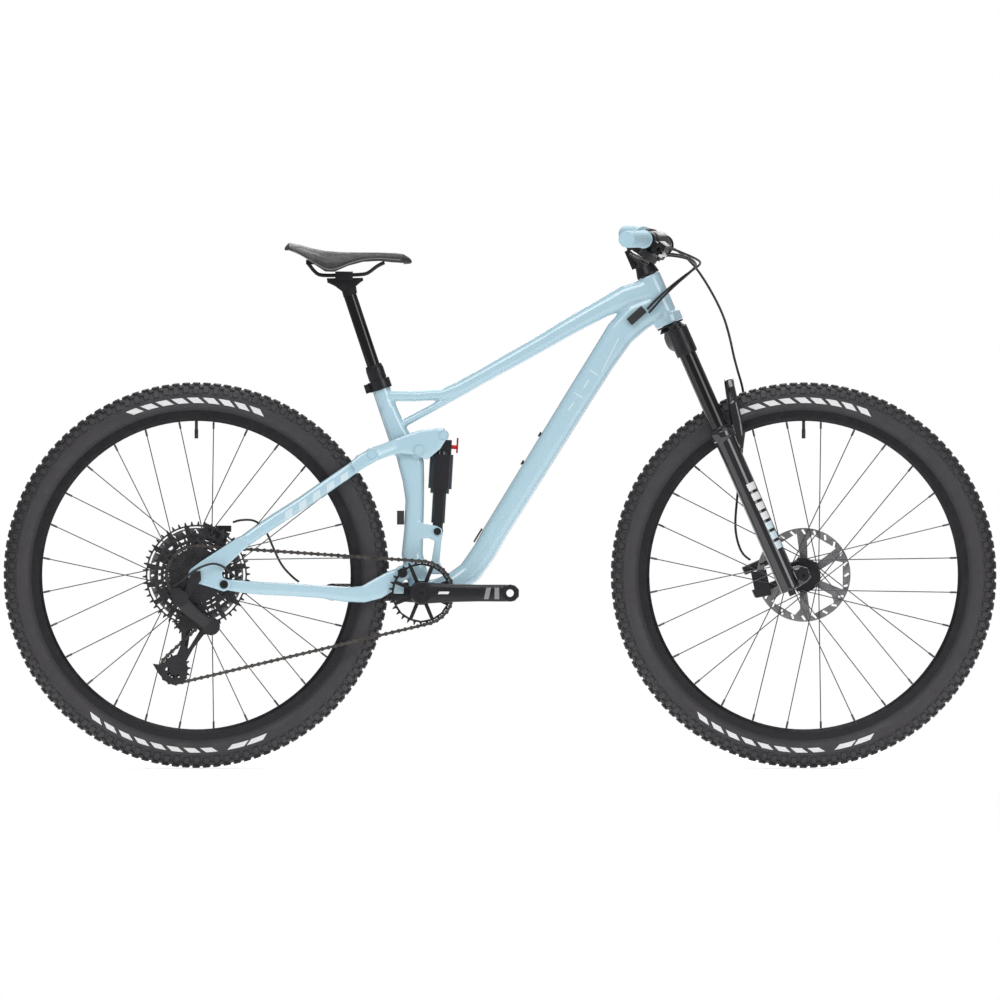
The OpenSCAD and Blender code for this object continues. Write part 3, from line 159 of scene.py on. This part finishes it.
def soften_edges(obj, width=0.5, segments=2):
    """Small bevel on sharp edges, so that they catch the light."""
    modifier(obj, "WELD", merge_threshold=0.02 * MM)
    modifier(obj, "BEVEL", width=width * MM, segments=segments, limit_method="ANGLE", angle_limit=math.radians(35))
    obj.data.polygons.foreach_set("use_smooth", [True] * len(obj.data.polygons))
    modifier(obj, "WEIGHTED_NORMAL", keep_sharp=False)


def paint(obj, look):
    obj.data.materials.clear()
    obj.data.materials.append(look)
    return obj


def stand_for(obj, node, look):
    """obj takes a CAD node's place on the same body."""
    paint(obj, look)
    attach(obj, BODY_OF[node])
    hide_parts(node)
    return obj


# ---------- Materials ----------

def look(name, colour, rough=0.5, metal=0.0, coat=0.0, grain=0.0, grain_size=400.0, mottle=0.0, scuff=0.0, stretch=None):
    """Procedural finish: base colour with slight mottling, roughness that varies, and a fine bump."""
    mat = bpy.data.materials.new(name)
    mat.use_nodes = True
    nodes = mat.node_tree.nodes
    links = mat.node_tree.links
    shader = nodes["Principled BSDF"]
    shader.inputs["Base Color"].default_value = (*colour, 1)
    shader.inputs["Metallic"].default_value = metal
    shader.inputs["Roughness"].default_value = rough
    shader.inputs["Coat Weight"].default_value = coat
    shader.inputs["Coat Roughness"].default_value = 0.04
    place = nodes.new("ShaderNodeTexCoord")
    spread = nodes.new("ShaderNodeMapping")
    spread.inputs["Scale"].default_value = stretch or (1, 1, 1)
    links.new(place.outputs["Object"], spread.inputs["Vector"])

    def noise(scale, detail):
        n = nodes.new("ShaderNodeTexNoise")
        n.inputs["Scale"].default_value = scale
        n.inputs["Detail"].default_value = detail
        links.new(spread.outputs["Vector"], n.inputs["Vector"])
        return n.outputs["Fac"]

    if mottle:
        mix = nodes.new("ShaderNodeMixRGB")
        mix.inputs[1].default_value = (*[c * (1 - mottle) for c in colour], 1)
        mix.inputs[2].default_value = (*[min(1, c * (1 + mottle)) for c in colour], 1)
        links.new(noise(35, 5), mix.inputs[0])
        links.new(mix.outputs[0], shader.inputs["Base Color"])
    if scuff:
        spread_rough = nodes.new("ShaderNodeMapRange")
        spread_rough.inputs["From Min"].default_value = 0.35
        spread_rough.inputs["From Max"].default_value = 0.75
        spread_rough.inputs["To Min"].default_value = max(0.02, rough - scuff)
        spread_rough.inputs["To Max"].default_value = min(1, rough + scuff)
        links.new(noise(60, 8), spread_rough.inputs["Value"])
        links.new(spread_rough.outputs[0], shader.inputs["Roughness"])
    if grain:
        bump = nodes.new("ShaderNodeBump")
        bump.inputs["Strength"].default_value = grain
        bump.inputs["Distance"].default_value = 0.0004
        links.new(noise(grain_size, 3), bump.inputs["Height"])
        links.new(bump.outputs[0], shader.inputs["Normal"])
    return mat


BLUE_PAINT = look("blue_paint", (0.43, 0.62, 0.715), 0.24, 0.0, 0.8, grain=0.02, grain_size=240, mottle=0.025, scuff=0.05)
BLACK_ANODISED = look("black_anodised", (0.018, 0.018, 0.021), 0.36, 0.4, grain=0.08, grain_size=1500, scuff=0.08)
BLACK_GLOSS = look("black_gloss", (0.012, 0.012, 0.016), 0.12, 0.0, 0.7, grain=0.02, grain_size=260, scuff=0.04)
BLACK_PLASTIC = look("black_plastic", (0.02, 0.02, 0.022), 0.55, grain=0.25, grain_size=2200, mottle=0.1, scuff=0.1)
BLACK_CAST = look("black_cast", (0.02, 0.02, 0.023), 0.4, 0.2, grain=0.15, grain_size=1200, scuff=0.1)
SILVER = look("silver", (0.62, 0.63, 0.65), 0.25, 1.0, grain=0.05, grain_size=900, scuff=0.1)
RED = look("red_anodised", (0.55, 0.02, 0.02), 0.3, 0.7, grain=0.04, scuff=0.08)
STEEL = look("disc_steel", (0.30, 0.30, 0.31), 0.34, 0.9, grain=0.12, grain_size=700, scuff=0.12)
SPOKE_STEEL = look("spoke_steel", (0.10, 0.10, 0.11), 0.3, 0.9, scuff=0.08)
DARK_STEEL = look("dark_steel", (0.07, 0.07, 0.075), 0.34, 0.85, grain=0.1, scuff=0.15, mottle=0.2)
CHAIN_STEEL = look("chain_steel", (0.11, 0.10, 0.095), 0.36, 0.9, grain=0.1, scuff=0.15, mottle=0.3)
HOSE_BLACK = look("hose_black", (0.012, 0.012, 0.013), 0.38, grain=0.06, grain_size=2500, scuff=0.06)
TYRE_RUBBER = look("tyre_rubber", (0.036, 0.033, 0.037), 0.62, grain=0.5, grain_size=1100, mottle=0.15, scuff=0.12)
GRIP_RUBBER = look("grip_rubber", (0.42, 0.62, 0.72), 0.55, grain=0.35, grain_size=1400, mottle=0.05, scuff=0.08)
SADDLE_SKIN = look("saddle_skin", (0.018, 0.018, 0.02), 0.5, grain=0.55, grain_size=1800, mottle=0.12, scuff=0.1)
STANCHION_BLACK = look("stanchion_black", (0.02, 0.02, 0.022), 0.14, 0.8, 0.4, scuff=0.04)
WHITE_MARK = look("white_mark", (0.75, 0.75, 0.76), 0.5, mottle=0.05)
GREY_MARK = look("grey_mark", (0.25, 0.25, 0.26), 0.4, mottle=0.05)
THREAD = look("thread", (0.05, 0.05, 0.052), 0.8, grain=0.4, grain_size=5000, mottle=0.2)
PIPING = look("piping", (0.16, 0.16, 0.17), 0.5, grain=0.2, grain_size=3000, mottle=0.1)
PALE_MARK = look("pale_mark", (0.62, 0.74, 0.80), 0.3, mottle=0.02)


# ---------- CAD nodes that keep their shape ----------

KEPT = {
    "frame_bolts": BLACK_ANODISED, "frame_covers": BLACK_PLASTIC, "bearing_cups": BLACK_ANODISED,
    "post_collar": BLACK_ANODISED, "stay_axles": BLACK_ANODISED, "rear_caliper": BLACK_CAST, "derailleur": BLACK_CAST,
    "rocker_bolts": BLUE_PAINT, "shock_shaft": BLACK_GLOSS, "shock_body": BLACK_GLOSS, "shock_lever": RED,
    "stanchions": STANCHION_BLACK, "cockpit_hardware": BLACK_ANODISED, "fork_dial": BLACK_ANODISED, "stem": BLACK_ANODISED,
    "handlebar": BLACK_ANODISED, "brake_masters": BLACK_CAST, "brake_blade_right": BLACK_ANODISED,
    "brake_blade_left": BLACK_ANODISED, "thumb_controls": BLACK_PLASTIC, "shift_paddle_down": DARK_STEEL,
    "shift_paddle_up": BLACK_PLASTIC, "dropper_paddle": BLACK_PLASTIC, "fork_hardware": BLACK_ANODISED,
    "front_caliper": BLACK_CAST, "rebound_dial": BLACK_ANODISED, "front_rim": BLACK_ANODISED, "front_spokes": SPOKE_STEEL,
    "front_hub": BLACK_ANODISED, "front_rotor": STEEL, "front_wheel_hardware": DARK_STEEL, "rear_rim": BLACK_ANODISED,
    "rear_spokes": SPOKE_STEEL, "rear_hub": BLACK_ANODISED, "rear_rotor": STEEL, "rear_wheel_hardware": DARK_STEEL,
    "cassette": DARK_STEEL, "chainring_and_bolt": BLACK_ANODISED, "derailleur_cage": BLACK_CAST,
    "guide_pulley": BLACK_PLASTIC, "tension_pulley": BLACK_PLASTIC, "dropper_inner": STANCHION_BLACK,
    "saddle_cradle": BLACK_ANODISED, "saddle_rails": BLACK_ANODISED,
}
THIN = ("front_spokes", "rear_spokes", "saddle_rails")
for node, finish in KEPT.items():
    paint(NODES[node], finish)
    if node not in THIN:
        soften_edges(NODES[node], 0.25 if "rotor" in node or "cassette" in node or "pulley" in node else 0.5)

stand_for(melted("front_frame", "frame_painted", 1.9, 9, seat_sleeve()), "front_frame", BLUE_PAINT)
stand_for(melted("chainstay", "chainstay_painted", 1.6, 7), "chainstay", BLUE_PAINT)
stand_for(melted("seatstay", "seatstay_painted", 1.6, 7), "seatstay", BLUE_PAINT)
stand_for(melted("rocker", "rocker_painted", 1.3, 7), "rocker", BLUE_PAINT)
stand_for(melted("fork_lowers", "fork_lowers_painted", 1.7, 7), "fork_lowers", BLACK_GLOSS)
stand_for(melted("fork_crown", "fork_crown_forged", 1.4, 6), "fork_crown", BLACK_ANODISED)
stand_for(melted("crank_right", "crank_right_forged", 1.0, 6), "crank_right", BLACK_ANODISED)
stand_for(melted("crank_left", "crank_left_forged", 1.0, 6), "crank_left", BLACK_ANODISED)


# ---------- Grips ----------

def grips():
    """Rubber grips with rows of small raised lozenges between plain ends."""
    obj = melted("grips", "grips_moulded", 0.9, 2)
    low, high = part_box("grips")
    for side in (-1, 1):
        mine = [v for v in obj.data.vertices if v.co.y * side > 0]
        ends = [min(abs(v.co.y) for v in mine), max(abs(v.co.y) for v in mine)]
        near = [v.co for v in mine if abs(v.co.y) < ends[0] + 0.02]
        far = [v.co for v in mine if abs(v.co.y) > ends[1] - 0.02]
        a = sum(near, Vector()) / len(near)
        b = sum(far, Vector()) / len(far)
        axis = (b - a).normalized()
        up = Vector((0, 0, 1))
        ahead = axis.cross(up).normalized()
        for v in mine:
            along = (v.co - a).dot(axis)
            out = v.co - a - axis * along
            if out.length < 0.0145 or abs(v.co.y) < ends[0] + 0.014 or abs(v.co.y) > ends[1] - 0.010:
                continue
            turn = math.atan2(out.dot(up), out.dot(ahead))
            wave = math.cos(turn * 12 + along * 700) * math.cos(turn * 12 - along * 700)
            v.co += out.normalized() * (0.45 * MM * max(0.0, min(1.0, 2.2 * wave + 0.2)))
    return stand_for(obj, "grips", GRIP_RUBBER)


grips()


# ---------- Saddle ----------

def skin_tree(obj):
    """Search tree of a mesh, for finding points on its surface."""
    mesh = obj.data
    return BVHTree.FromPolygons([v.co for v in mesh.vertices], [p.vertices for p in mesh.polygons])


def drop_onto(tree, x, y):
    """Point and normal on the top of a surface at a plan position, or None off its edge."""
    place, normal, face, far = tree.ray_cast(Vector((x, y, 1.2)), Vector((0, 0, -1)))
    return (place, normal) if place else None


def tube_along(name, path, radius, finish, body, sides=8):
    """Round cord along a list of points."""
    points, faces = [], []
    for i, q in enumerate(path):
        ahead = (path[min(i + 1, len(path) - 1)] - path[max(i - 1, 0)]).normalized()
        side = ahead.cross(Vector((0, 0, 1))).normalized()
        up = side.cross(ahead)
        for k in range(sides):
            a = 2 * math.pi * k / sides
            points.append(q + side * radius * math.cos(a) + up * radius * math.sin(a))
    for i in range(len(path) - 1):
        for k in range(sides):
            m = (k + 1) % sides
            faces.append((i * sides + k, i * sides + m, (i + 1) * sides + m, (i + 1) * sides + k))
    faces.append(tuple(range(sides - 1, -1, -1)))
    faces.append(tuple((len(path) - 1) * sides + k for k in range(sides)))
    obj = mesh_piece(name, points, faces)
    paint(obj, finish)
    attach(obj, body)
    return obj


def saddle():
    """Stretched cover: sunken channel, sewn seams with thread, soft ripples and a cord round its edge."""
    obj = melted("saddle_cover", "saddle_skin", 1.3, 8)
    low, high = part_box("saddle_cover")
    length = high.x - low.x
    half = high.y

    def seam_y(x):
        t = (x - low.x) / length
        return half * (0.62 - 0.62 * t) if t < 0.62 else half * (0.235 - 0.14 * (t - 0.62))

    count = len(obj.data.vertices)
    place, normal = np.empty(count * 3), np.empty(count * 3)
    obj.data.vertices.foreach_get("co", place)
    obj.data.vertices.foreach_get("normal", normal)
    place, normal = place.reshape(-1, 3), normal.reshape(-1, 3)
    x, y = place[:, 0], np.abs(place[:, 1])
    t = (x - low.x) / length
    top = np.maximum(0, normal[:, 2])
    channel = np.exp(-((y / 0.006) ** 2)) * np.clip((t - 0.12) / 0.1, 0, 1) * np.clip((0.88 - t) / 0.12, 0, 1)
    seam_line = np.array([seam_y(a) for a in x])
    seam = np.exp(-(((y - seam_line) / 0.0014) ** 2)) * np.clip((t - 0.05) / 0.05, 0, 1) * np.clip((0.93 - t) / 0.05, 0, 1)
    ripple = np.sin(x * 210 + 3 * np.sin(place[:, 1] * 90)) * np.minimum(1, y / 0.03)
    place[:, 2] -= top * (channel * 2.2 + seam * 0.7 + ripple * 0.18) * MM
    obj.data.vertices.foreach_set("co", place.ravel())
    obj.data.update()
    stand_for(obj, "saddle_cover", SADDLE_SKIN)
    tree = skin_tree(obj)

    for side, where in ((-1, "right"), (1, "left")):
        points, faces = [], []
        x = low.x + length * 0.09
        while x < low.x + length * 0.90:
            for offset in (-1.9 * MM, 1.9 * MM):
                hit = drop_onto(tree, x, side * (seam_y(x) + offset))
                ahead = drop_onto(tree, x + 2.6 * MM, side * (seam_y(x + 2.6 * MM) + offset))
                if not hit or not ahead:
                    continue
                start = len(points)
                along = (ahead[0] - hit[0]).normalized()
                wide = hit[1].cross(along).normalized() * 0.38 * MM
                for step, rise in ((0, -0.1), (0.3, 0.32), (0.7, 0.32), (1, -0.1)):
                    middle = hit[0].lerp(ahead[0], step) + hit[1] * rise * MM
                    points += [middle - wide, middle + hit[1] * 0.12 * MM, middle + wide]
                for i in range(3):
                    for j in range(2):
                        k = start + i * 3 + j
                        faces.append((k, k + 1, k + 4, k + 3))
            x += 4.2 * MM
        thread = mesh_piece(f"saddle_thread_{where}", points, faces)
        paint(thread, THREAD)
        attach(thread, BODY_OF["saddle_cover"])

        edge = []
        for k in range(41):
            x = low.x + length * (0.035 + 0.90 * k / 40)
            band = place[np.abs(place[:, 0] - x) < 0.0022]
            widest = band[np.argmax(band[:, 1] * side)]
            edge.append(Vector((x, widest[1], widest[2])))
        smooth = [sum(edge[max(0, i - 2):i + 3], Vector()) / len(edge[max(0, i - 2):i + 3]) for i in range(len(edge))]
        tube_along(f"saddle_piping_{where}", smooth, 1.0 * MM, PIPING, BODY_OF["saddle_cover"])


saddle()


# ---------- Printed marks ----------

def printed(name, target, corners, side, finish, steps=14):
    """Thin patch on a part's flank: corners is a four-sided outline in X and Z, side is -1 for the right flank."""
    tree = TREES[target]
    points, faces, index = [], [], {}
    a, b, c, d = [Vector((q[0], 0, q[1])) * MM for q in corners]
    for i in range(steps + 1):
        for j in range(steps + 1):
            u, w = i / steps, j / steps
            q = a.lerp(b, u).lerp(d.lerp(c, u), w)
            place, normal, face, far = tree.ray_cast(Vector((q.x, side * 0.4, q.z)), Vector((0, -side, 0)))
            if place:
                index[i, j] = len(points)
                points.append(place + normal * 0.15 * MM)
    for i in range(steps):
        for j in range(steps):
            ring = [index.get(k) for k in ((i, j), (i + 1, j), (i + 1, j + 1), (i, j + 1))]
            if None not in ring and max((points[m] - points[ring[0]]).length for m in ring) < 0.02:
                faces.append(ring)
    if not faces:
        return
    obj = mesh_piece(name, points, faces)
    paint(obj, finish)
    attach(obj, BODY_OF[target])


def bar(x, z, length, width, angle, slant=0.0):
    """Corners of a bar centred at x, z, turned by angle, with ends leaning by slant."""
    ca, sa = math.cos(math.radians(angle)), math.sin(math.radians(angle))
    corners = []
    for u, w in ((-1, -1), (1, -1), (1, 1), (-1, 1)):
        p, q = u * length / 2 + w * slant / 2, w * width / 2
        corners.append((x + p * ca - q * sa, z + p * sa + q * ca))
    return corners


TREES = {
    "front_frame": skin_tree(bpy.data.objects["frame_painted"]),
    "seatstay": skin_tree(bpy.data.objects["seatstay_painted"]),
    "fork_lowers": skin_tree(bpy.data.objects["fork_lowers_painted"]),
    "crank_right": skin_tree(bpy.data.objects["crank_right_forged"]),
}


def marks():
    """Plain bars where the paintwork carries pale graphics; none of them forms a letter or a badge."""
    for side, where in ((-1, "right"), (1, "left")):
        for k in range(6):
            along = (k - 2.5) * 31
            x, z = -338 + along * 0.86, 528 + along * 0.56
            outline = bar(x, z, 17, 20, 33, 12)
            printed(f"stay_mark_{where}_{k}", "seatstay", outline, side, PALE_MARK)
        for k in range(4):
            along = (k - 1.5) * 26
            x, z = 158 + along * 0.56, 726 + along * 0.83
            printed(f"down_tube_mark_{where}_{k}", "front_frame", bar(x, z, 19, 3.0, 56 + (90 if k % 2 else 0)), side, PALE_MARK)
        printed(f"down_tube_line_{where}", "front_frame", bar(211, 792, 74, 2.4, 63), side, PALE_MARK, 30)
        for k in range(7):
            along = (k - 3) * 20.5
            x, z = 511 + along * 0.434, 487 - along * 0.9
            finish = WHITE_MARK if k < 4 else PALE_MARK
            printed(f"fork_mark_{where}_{k}", "fork_lowers", bar(x, z, 14.5, 21, -64.3, 0), side, finish)
    for k, (x, width, slant) in enumerate(((-24, 9, 5), (-6, 9, 0))):
        printed(f"crank_mark_{k}", "crank_right", bar(x, 336, width, 22, 0, slant), -1, GREY_MARK)
    printed("crank_dash", "crank_right", bar(-108, 337, 20, 5, 0, 2), -1, WHITE_MARK)


# ---------- Tyres ----------

def tyre_point(angle, t, height=0.0):
    """Point on the tyre's casing: angle round the wheel, t across it from the crown, height above its surface."""
    r_mid = TYRE_RADIUS - 32 * MM
    r_half = 27.6 * MM
    y_half = TYRE_HALF_WIDTH - 1.2 * MM
    r = r_mid + (r_half + height) * math.cos(t)
    return Vector((r * math.cos(angle), (y_half + height) * math.sin(t), r * math.sin(angle)))


def moulding(t):
    """Height of the raised rings that run round the sidewall, t in degrees from the crown."""
    rings = ((76, 0.7, 1.6), (81, 0.4, 1.0), (121, 0.6, 1.4), (127, 0.5, 1.0))
    return sum(h * math.exp(-(((abs(t) - at) / w) ** 2)) for at, h, w in rings) * MM


def casing(points, faces, steps=240):
    """Closed skin of the casing, outside and inside."""
    section = [(math.radians(a), moulding(a)) for a in range(-BEAD, BEAD + 1, 2)]
    section += [(math.radians(a), -3.2 * MM) for a in range(BEAD, -BEAD - 1, -12)]
    n = len(section)
    for k in range(steps):
        for t, h in section:
            points.append(tyre_point(2 * math.pi * k / steps, t, h))
    for k in range(steps):
        for i in range(n):
            j = (i + 1) % n
            m = (k + 1) % steps
            faces.append((k * n + i, k * n + j, m * n + j, m * n + i))


def knob(points, faces, angle, t, length, width, height, skew=0.0):
    """One tread block: length round the tyre, width across it."""
    start = len(points)
    r = TYRE_RADIUS - 5 * MM
    for h, grow in ((-1.2 * MM, 1.15), (height - 0.5 * MM, 0.98), (height, 0.86)):
        for a, b in ((-1, -1), (1, -1), (1, 1), (-1, 1)):
            da = (a * length * grow + b * skew) / 2 / r
            dt = b * width * grow / 2 / (28 * MM)
            points.append(tyre_point(angle + da, t + dt, h))
    for ring in (0, 4):
        for i in range(4):
            j = (i + 1) % 4
            faces.append((start + ring + i, start + ring + j, start + ring + 4 + j, start + ring + 4 + i))
    faces.append(tuple(start + 8 + i for i in range(4)))
    faces.append(tuple(start + i for i in (3, 2, 1, 0)))


def tyre(name, node, centre):
    """Casing with rows of staggered blocks."""
    points, faces = [], []
    casing(points, faces)
    pitches = 116
    for k in range(pitches):
        a = 2 * math.pi * k / pitches
        half = math.pi / pitches
        wide = k % 2
        for side in (-1, 1):
            knob(points, faces, a + side * 0.004, side * 0.20, 10 * MM, (8.4 if wide else 7.2) * MM, 4.2 * MM, side * 2.4 * MM)
            knob(points, faces, a + half, side * (0.56 if wide else 0.62), 8.6 * MM, 7.6 * MM, 4.0 * MM, side * -2 * MM)
            knob(points, faces, a + half * 0.1, side * (1.02 if wide else 0.96), 10.4 * MM, 9.6 * MM, 3.8 * MM)
            knob(points, faces, a + half, side * 1.20, 5.0 * MM, 4.0 * MM, 1.4 * MM)
    obj = mesh_piece(name, points, faces)
    obj.data.transform(Matrix.Translation(centre))
    modifier(obj, "BEVEL", width=0.35 * MM, segments=1, limit_method="ANGLE", angle_limit=math.radians(50))
    modifier(obj, "WEIGHTED_NORMAL", keep_sharp=False)
    bake(obj)
    return stand_for(obj, node, TYRE_RUBBER)


def sidewall_mark(name, centre, body, side, start, end, t_near, t_far, slant):
    """Printed patch on a sidewall, from one angle to another, with slanted ends."""
    points, faces = [], []
    across, around = 8, max(2, int(abs(end - start) / 0.6))
    for i in range(across + 1):
        t = math.radians(t_near + (t_far - t_near) * i / across)
        lean = slant * (i / across - 0.5)
        for j in range(around + 1):
            a = math.radians(start + (end - start) * j / around + lean)
            points.append(centre + tyre_point(a, side * t, moulding(math.degrees(t)) + 0.15 * MM))
    for i in range(across):
        for j in range(around):
            k = i * (around + 1) + j
            faces.append((k, k + 1, k + around + 2, k + around + 1))
    obj = mesh_piece(name, points, faces)
    paint(obj, WHITE_MARK)
    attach(obj, body)


for wheel, centre in (("front", FRONT), ("rear", REAR)):
    tyre(wheel + "_tyre_treaded", wheel + "_tyre", centre)
    for side, where in ((-1, "right"), (1, "left")):
        for k in range(9):
            a = 68 + 5.1 * k
            sidewall_mark(f"{wheel}_tyre_{where}_dash_{k}", centre, wheel + "_wheel", side, a, a + 3.6, 84, 106, -2.2)
        for k in range(8):
            a = -127 + 5.6 * k
            sidewall_mark(f"{wheel}_tyre_{where}_low_dash_{k}", centre, wheel + "_wheel", side, a, a + 3.8, 86, 104, -2.0)
        for k in range(2):
            a = -79 + 6.5 * k
            sidewall_mark(f"{wheel}_tyre_{where}_bar_{k}", centre, wheel + "_wheel", side, a, a + 5.6, 86, 104, 2.0)


# ---------- Chain, hoses and cables ----------

def split_copy(node, name, keep):
    """Copy of the loose parts of a CAD node whose centres pass keep."""
    obj = copy_of(node, name)
    mesh = obj.data
    parent = list(range(len(mesh.vertices)))

    def root(i):
        while parent[i] != i:
            parent[i] = parent[parent[i]]
            i = parent[i]
        return i

    for e in mesh.edges:
        parent[root(e.vertices[0])] = root(e.vertices[1])
    parts = {}
    for v in mesh.vertices:
        parts.setdefault(root(v.index), []).append(v.index)
    chosen = {}
    for members in parts.values():
        middle = sum((mesh.vertices[i].co for i in members), Vector()) / len(members)
        if keep(middle):
            for i in members:
                chosen[i] = len(chosen)
    points = [None] * len(chosen)
    for old, new in chosen.items():
        points[new] = mesh.vertices[old].co.copy()
    faces = [[chosen[i] for i in p.vertices] for p in mesh.polygons if p.vertices[0] in chosen]
    bpy.data.objects.remove(obj)
    return mesh_piece(name, points, faces, smooth=False)


def hose_piece(node, name, keep, look_used):
    """Rounded copy of one hose, with its CAD node hidden."""
    obj = split_copy(node, name, keep)
    modifier(obj, "SUBSURF", levels=1, render_levels=1)
    bake(obj)
    obj.data.polygons.foreach_set("use_smooth", [True] * len(obj.data.polygons))
    paint(obj, look_used)
    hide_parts(node)
    return obj


for name, side in (("cables_right", -1), ("cable_left", 1)):
    piece = hose_piece("cables_to_frame", name, lambda c, s=side: c.y * s > 0, HOSE_BLACK)
    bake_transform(piece)
piece = hose_piece("brake_hose_front", "front_hose", lambda c: True, HOSE_BLACK)
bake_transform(piece)
piece = hose_piece("rear_cables", "brake_hose_rear", lambda c: c.y > 0, HOSE_BLACK)
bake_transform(piece)
piece = hose_piece("rear_cables", "derailleur_cable", lambda c: c.y < 0, HOSE_BLACK)
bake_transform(piece)

CRANK = Vector(JOINTS["crank_spin"]["pos_m"])
for name, keep, ends in (
    ("chain_front", lambda c: c.x > -0.30, (Vector((-0.20, 0, 0.37)), Vector((-0.30, 0, 0.37)))),
    ("chain_rear", lambda c: c.x <= -0.30, (Vector((-0.52, 0, 0.37)), Vector((-0.30, 0, 0.37)))),
):
    piece = split_copy("chain", name, keep)
    modifier(piece, "BEVEL", width=0.15 * MM, segments=1, limit_method="ANGLE", angle_limit=math.radians(50))
    bake(piece)
    paint(piece, CHAIN_STEEL)
    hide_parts("chain")
    if name == "chain_front":
        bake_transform(piece)
    else:
        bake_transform(piece)


# ---------- Studio ----------

def studio():
    """Near-white floor and surround, soft lights, and a long lens on the drive side."""
    rim = [(2.6 * math.cos(k * math.pi / 32), 2.6 * math.sin(k * math.pi / 32), 0) for k in range(64)]
    floor = mesh_piece("floor", rim, [tuple(range(64))], smooth=False)
    white = look("floor_white", (0.95, 0.95, 0.95), 0.9)
    white.node_tree.nodes["Principled BSDF"].inputs["Emission Color"].default_value = (1, 1, 1, 1)
    white.node_tree.nodes["Principled BSDF"].inputs["Emission Strength"].default_value = 0.35
    paint(floor, white)

    world = bpy.data.worlds.new("studio")
    world.use_nodes = True
    tree = world.node_tree
    glow = tree.nodes["Background"]
    glow.inputs["Color"].default_value = (1, 1, 1, 1)
    ray = tree.nodes.new("ShaderNodeLightPath")
    strength = tree.nodes.new("ShaderNodeMapRange")
    strength.inputs["To Min"].default_value = 0.3
    strength.inputs["To Max"].default_value = 1.0
    tree.links.new(ray.outputs["Is Camera Ray"], strength.inputs["Value"])
    tree.links.new(strength.outputs[0], glow.inputs["Strength"])
    bpy.context.scene.world = world

    for name, place, width, power in (
        ("key", (-1.5, -4.0, 4.5), 3.0, 125),
        ("fill", (3.5, -4.0, 2.2), 2.5, 70),
        ("top", (0.0, 0.5, 4.5), 3.0, 75),
        ("rim", (0.5, 4.0, 3.0), 3.0, 75),
    ):
        lamp = bpy.data.lights.new(name, "AREA")
        lamp.size = width
        lamp.energy = power
        holder = link(bpy.data.objects.new(name, lamp))
        holder.location = place
        holder.rotation_euler = (Vector((0, 0, 0.5)) - Vector(place)).to_track_quat("-Z", "Y").to_euler()

    camera = bpy.data.cameras.new("camera")
    camera.sensor_width = 36
    camera.lens = 216
    camera.type = "ORTHO"
    camera.ortho_scale = 1.917
    camera.clip_end = 60
    holder = link(bpy.data.objects.new("camera", camera))
    tilt = math.radians(0.8)
    holder.location = (0, -4 * math.cos(tilt), 0.514 + 4 * math.sin(tilt))
    holder.rotation_euler = (math.radians(90) - tilt, 0, 0)
    bpy.context.scene.camera = holder
    bpy.context.scene.view_settings.view_transform = "Standard"


marks()
studio()
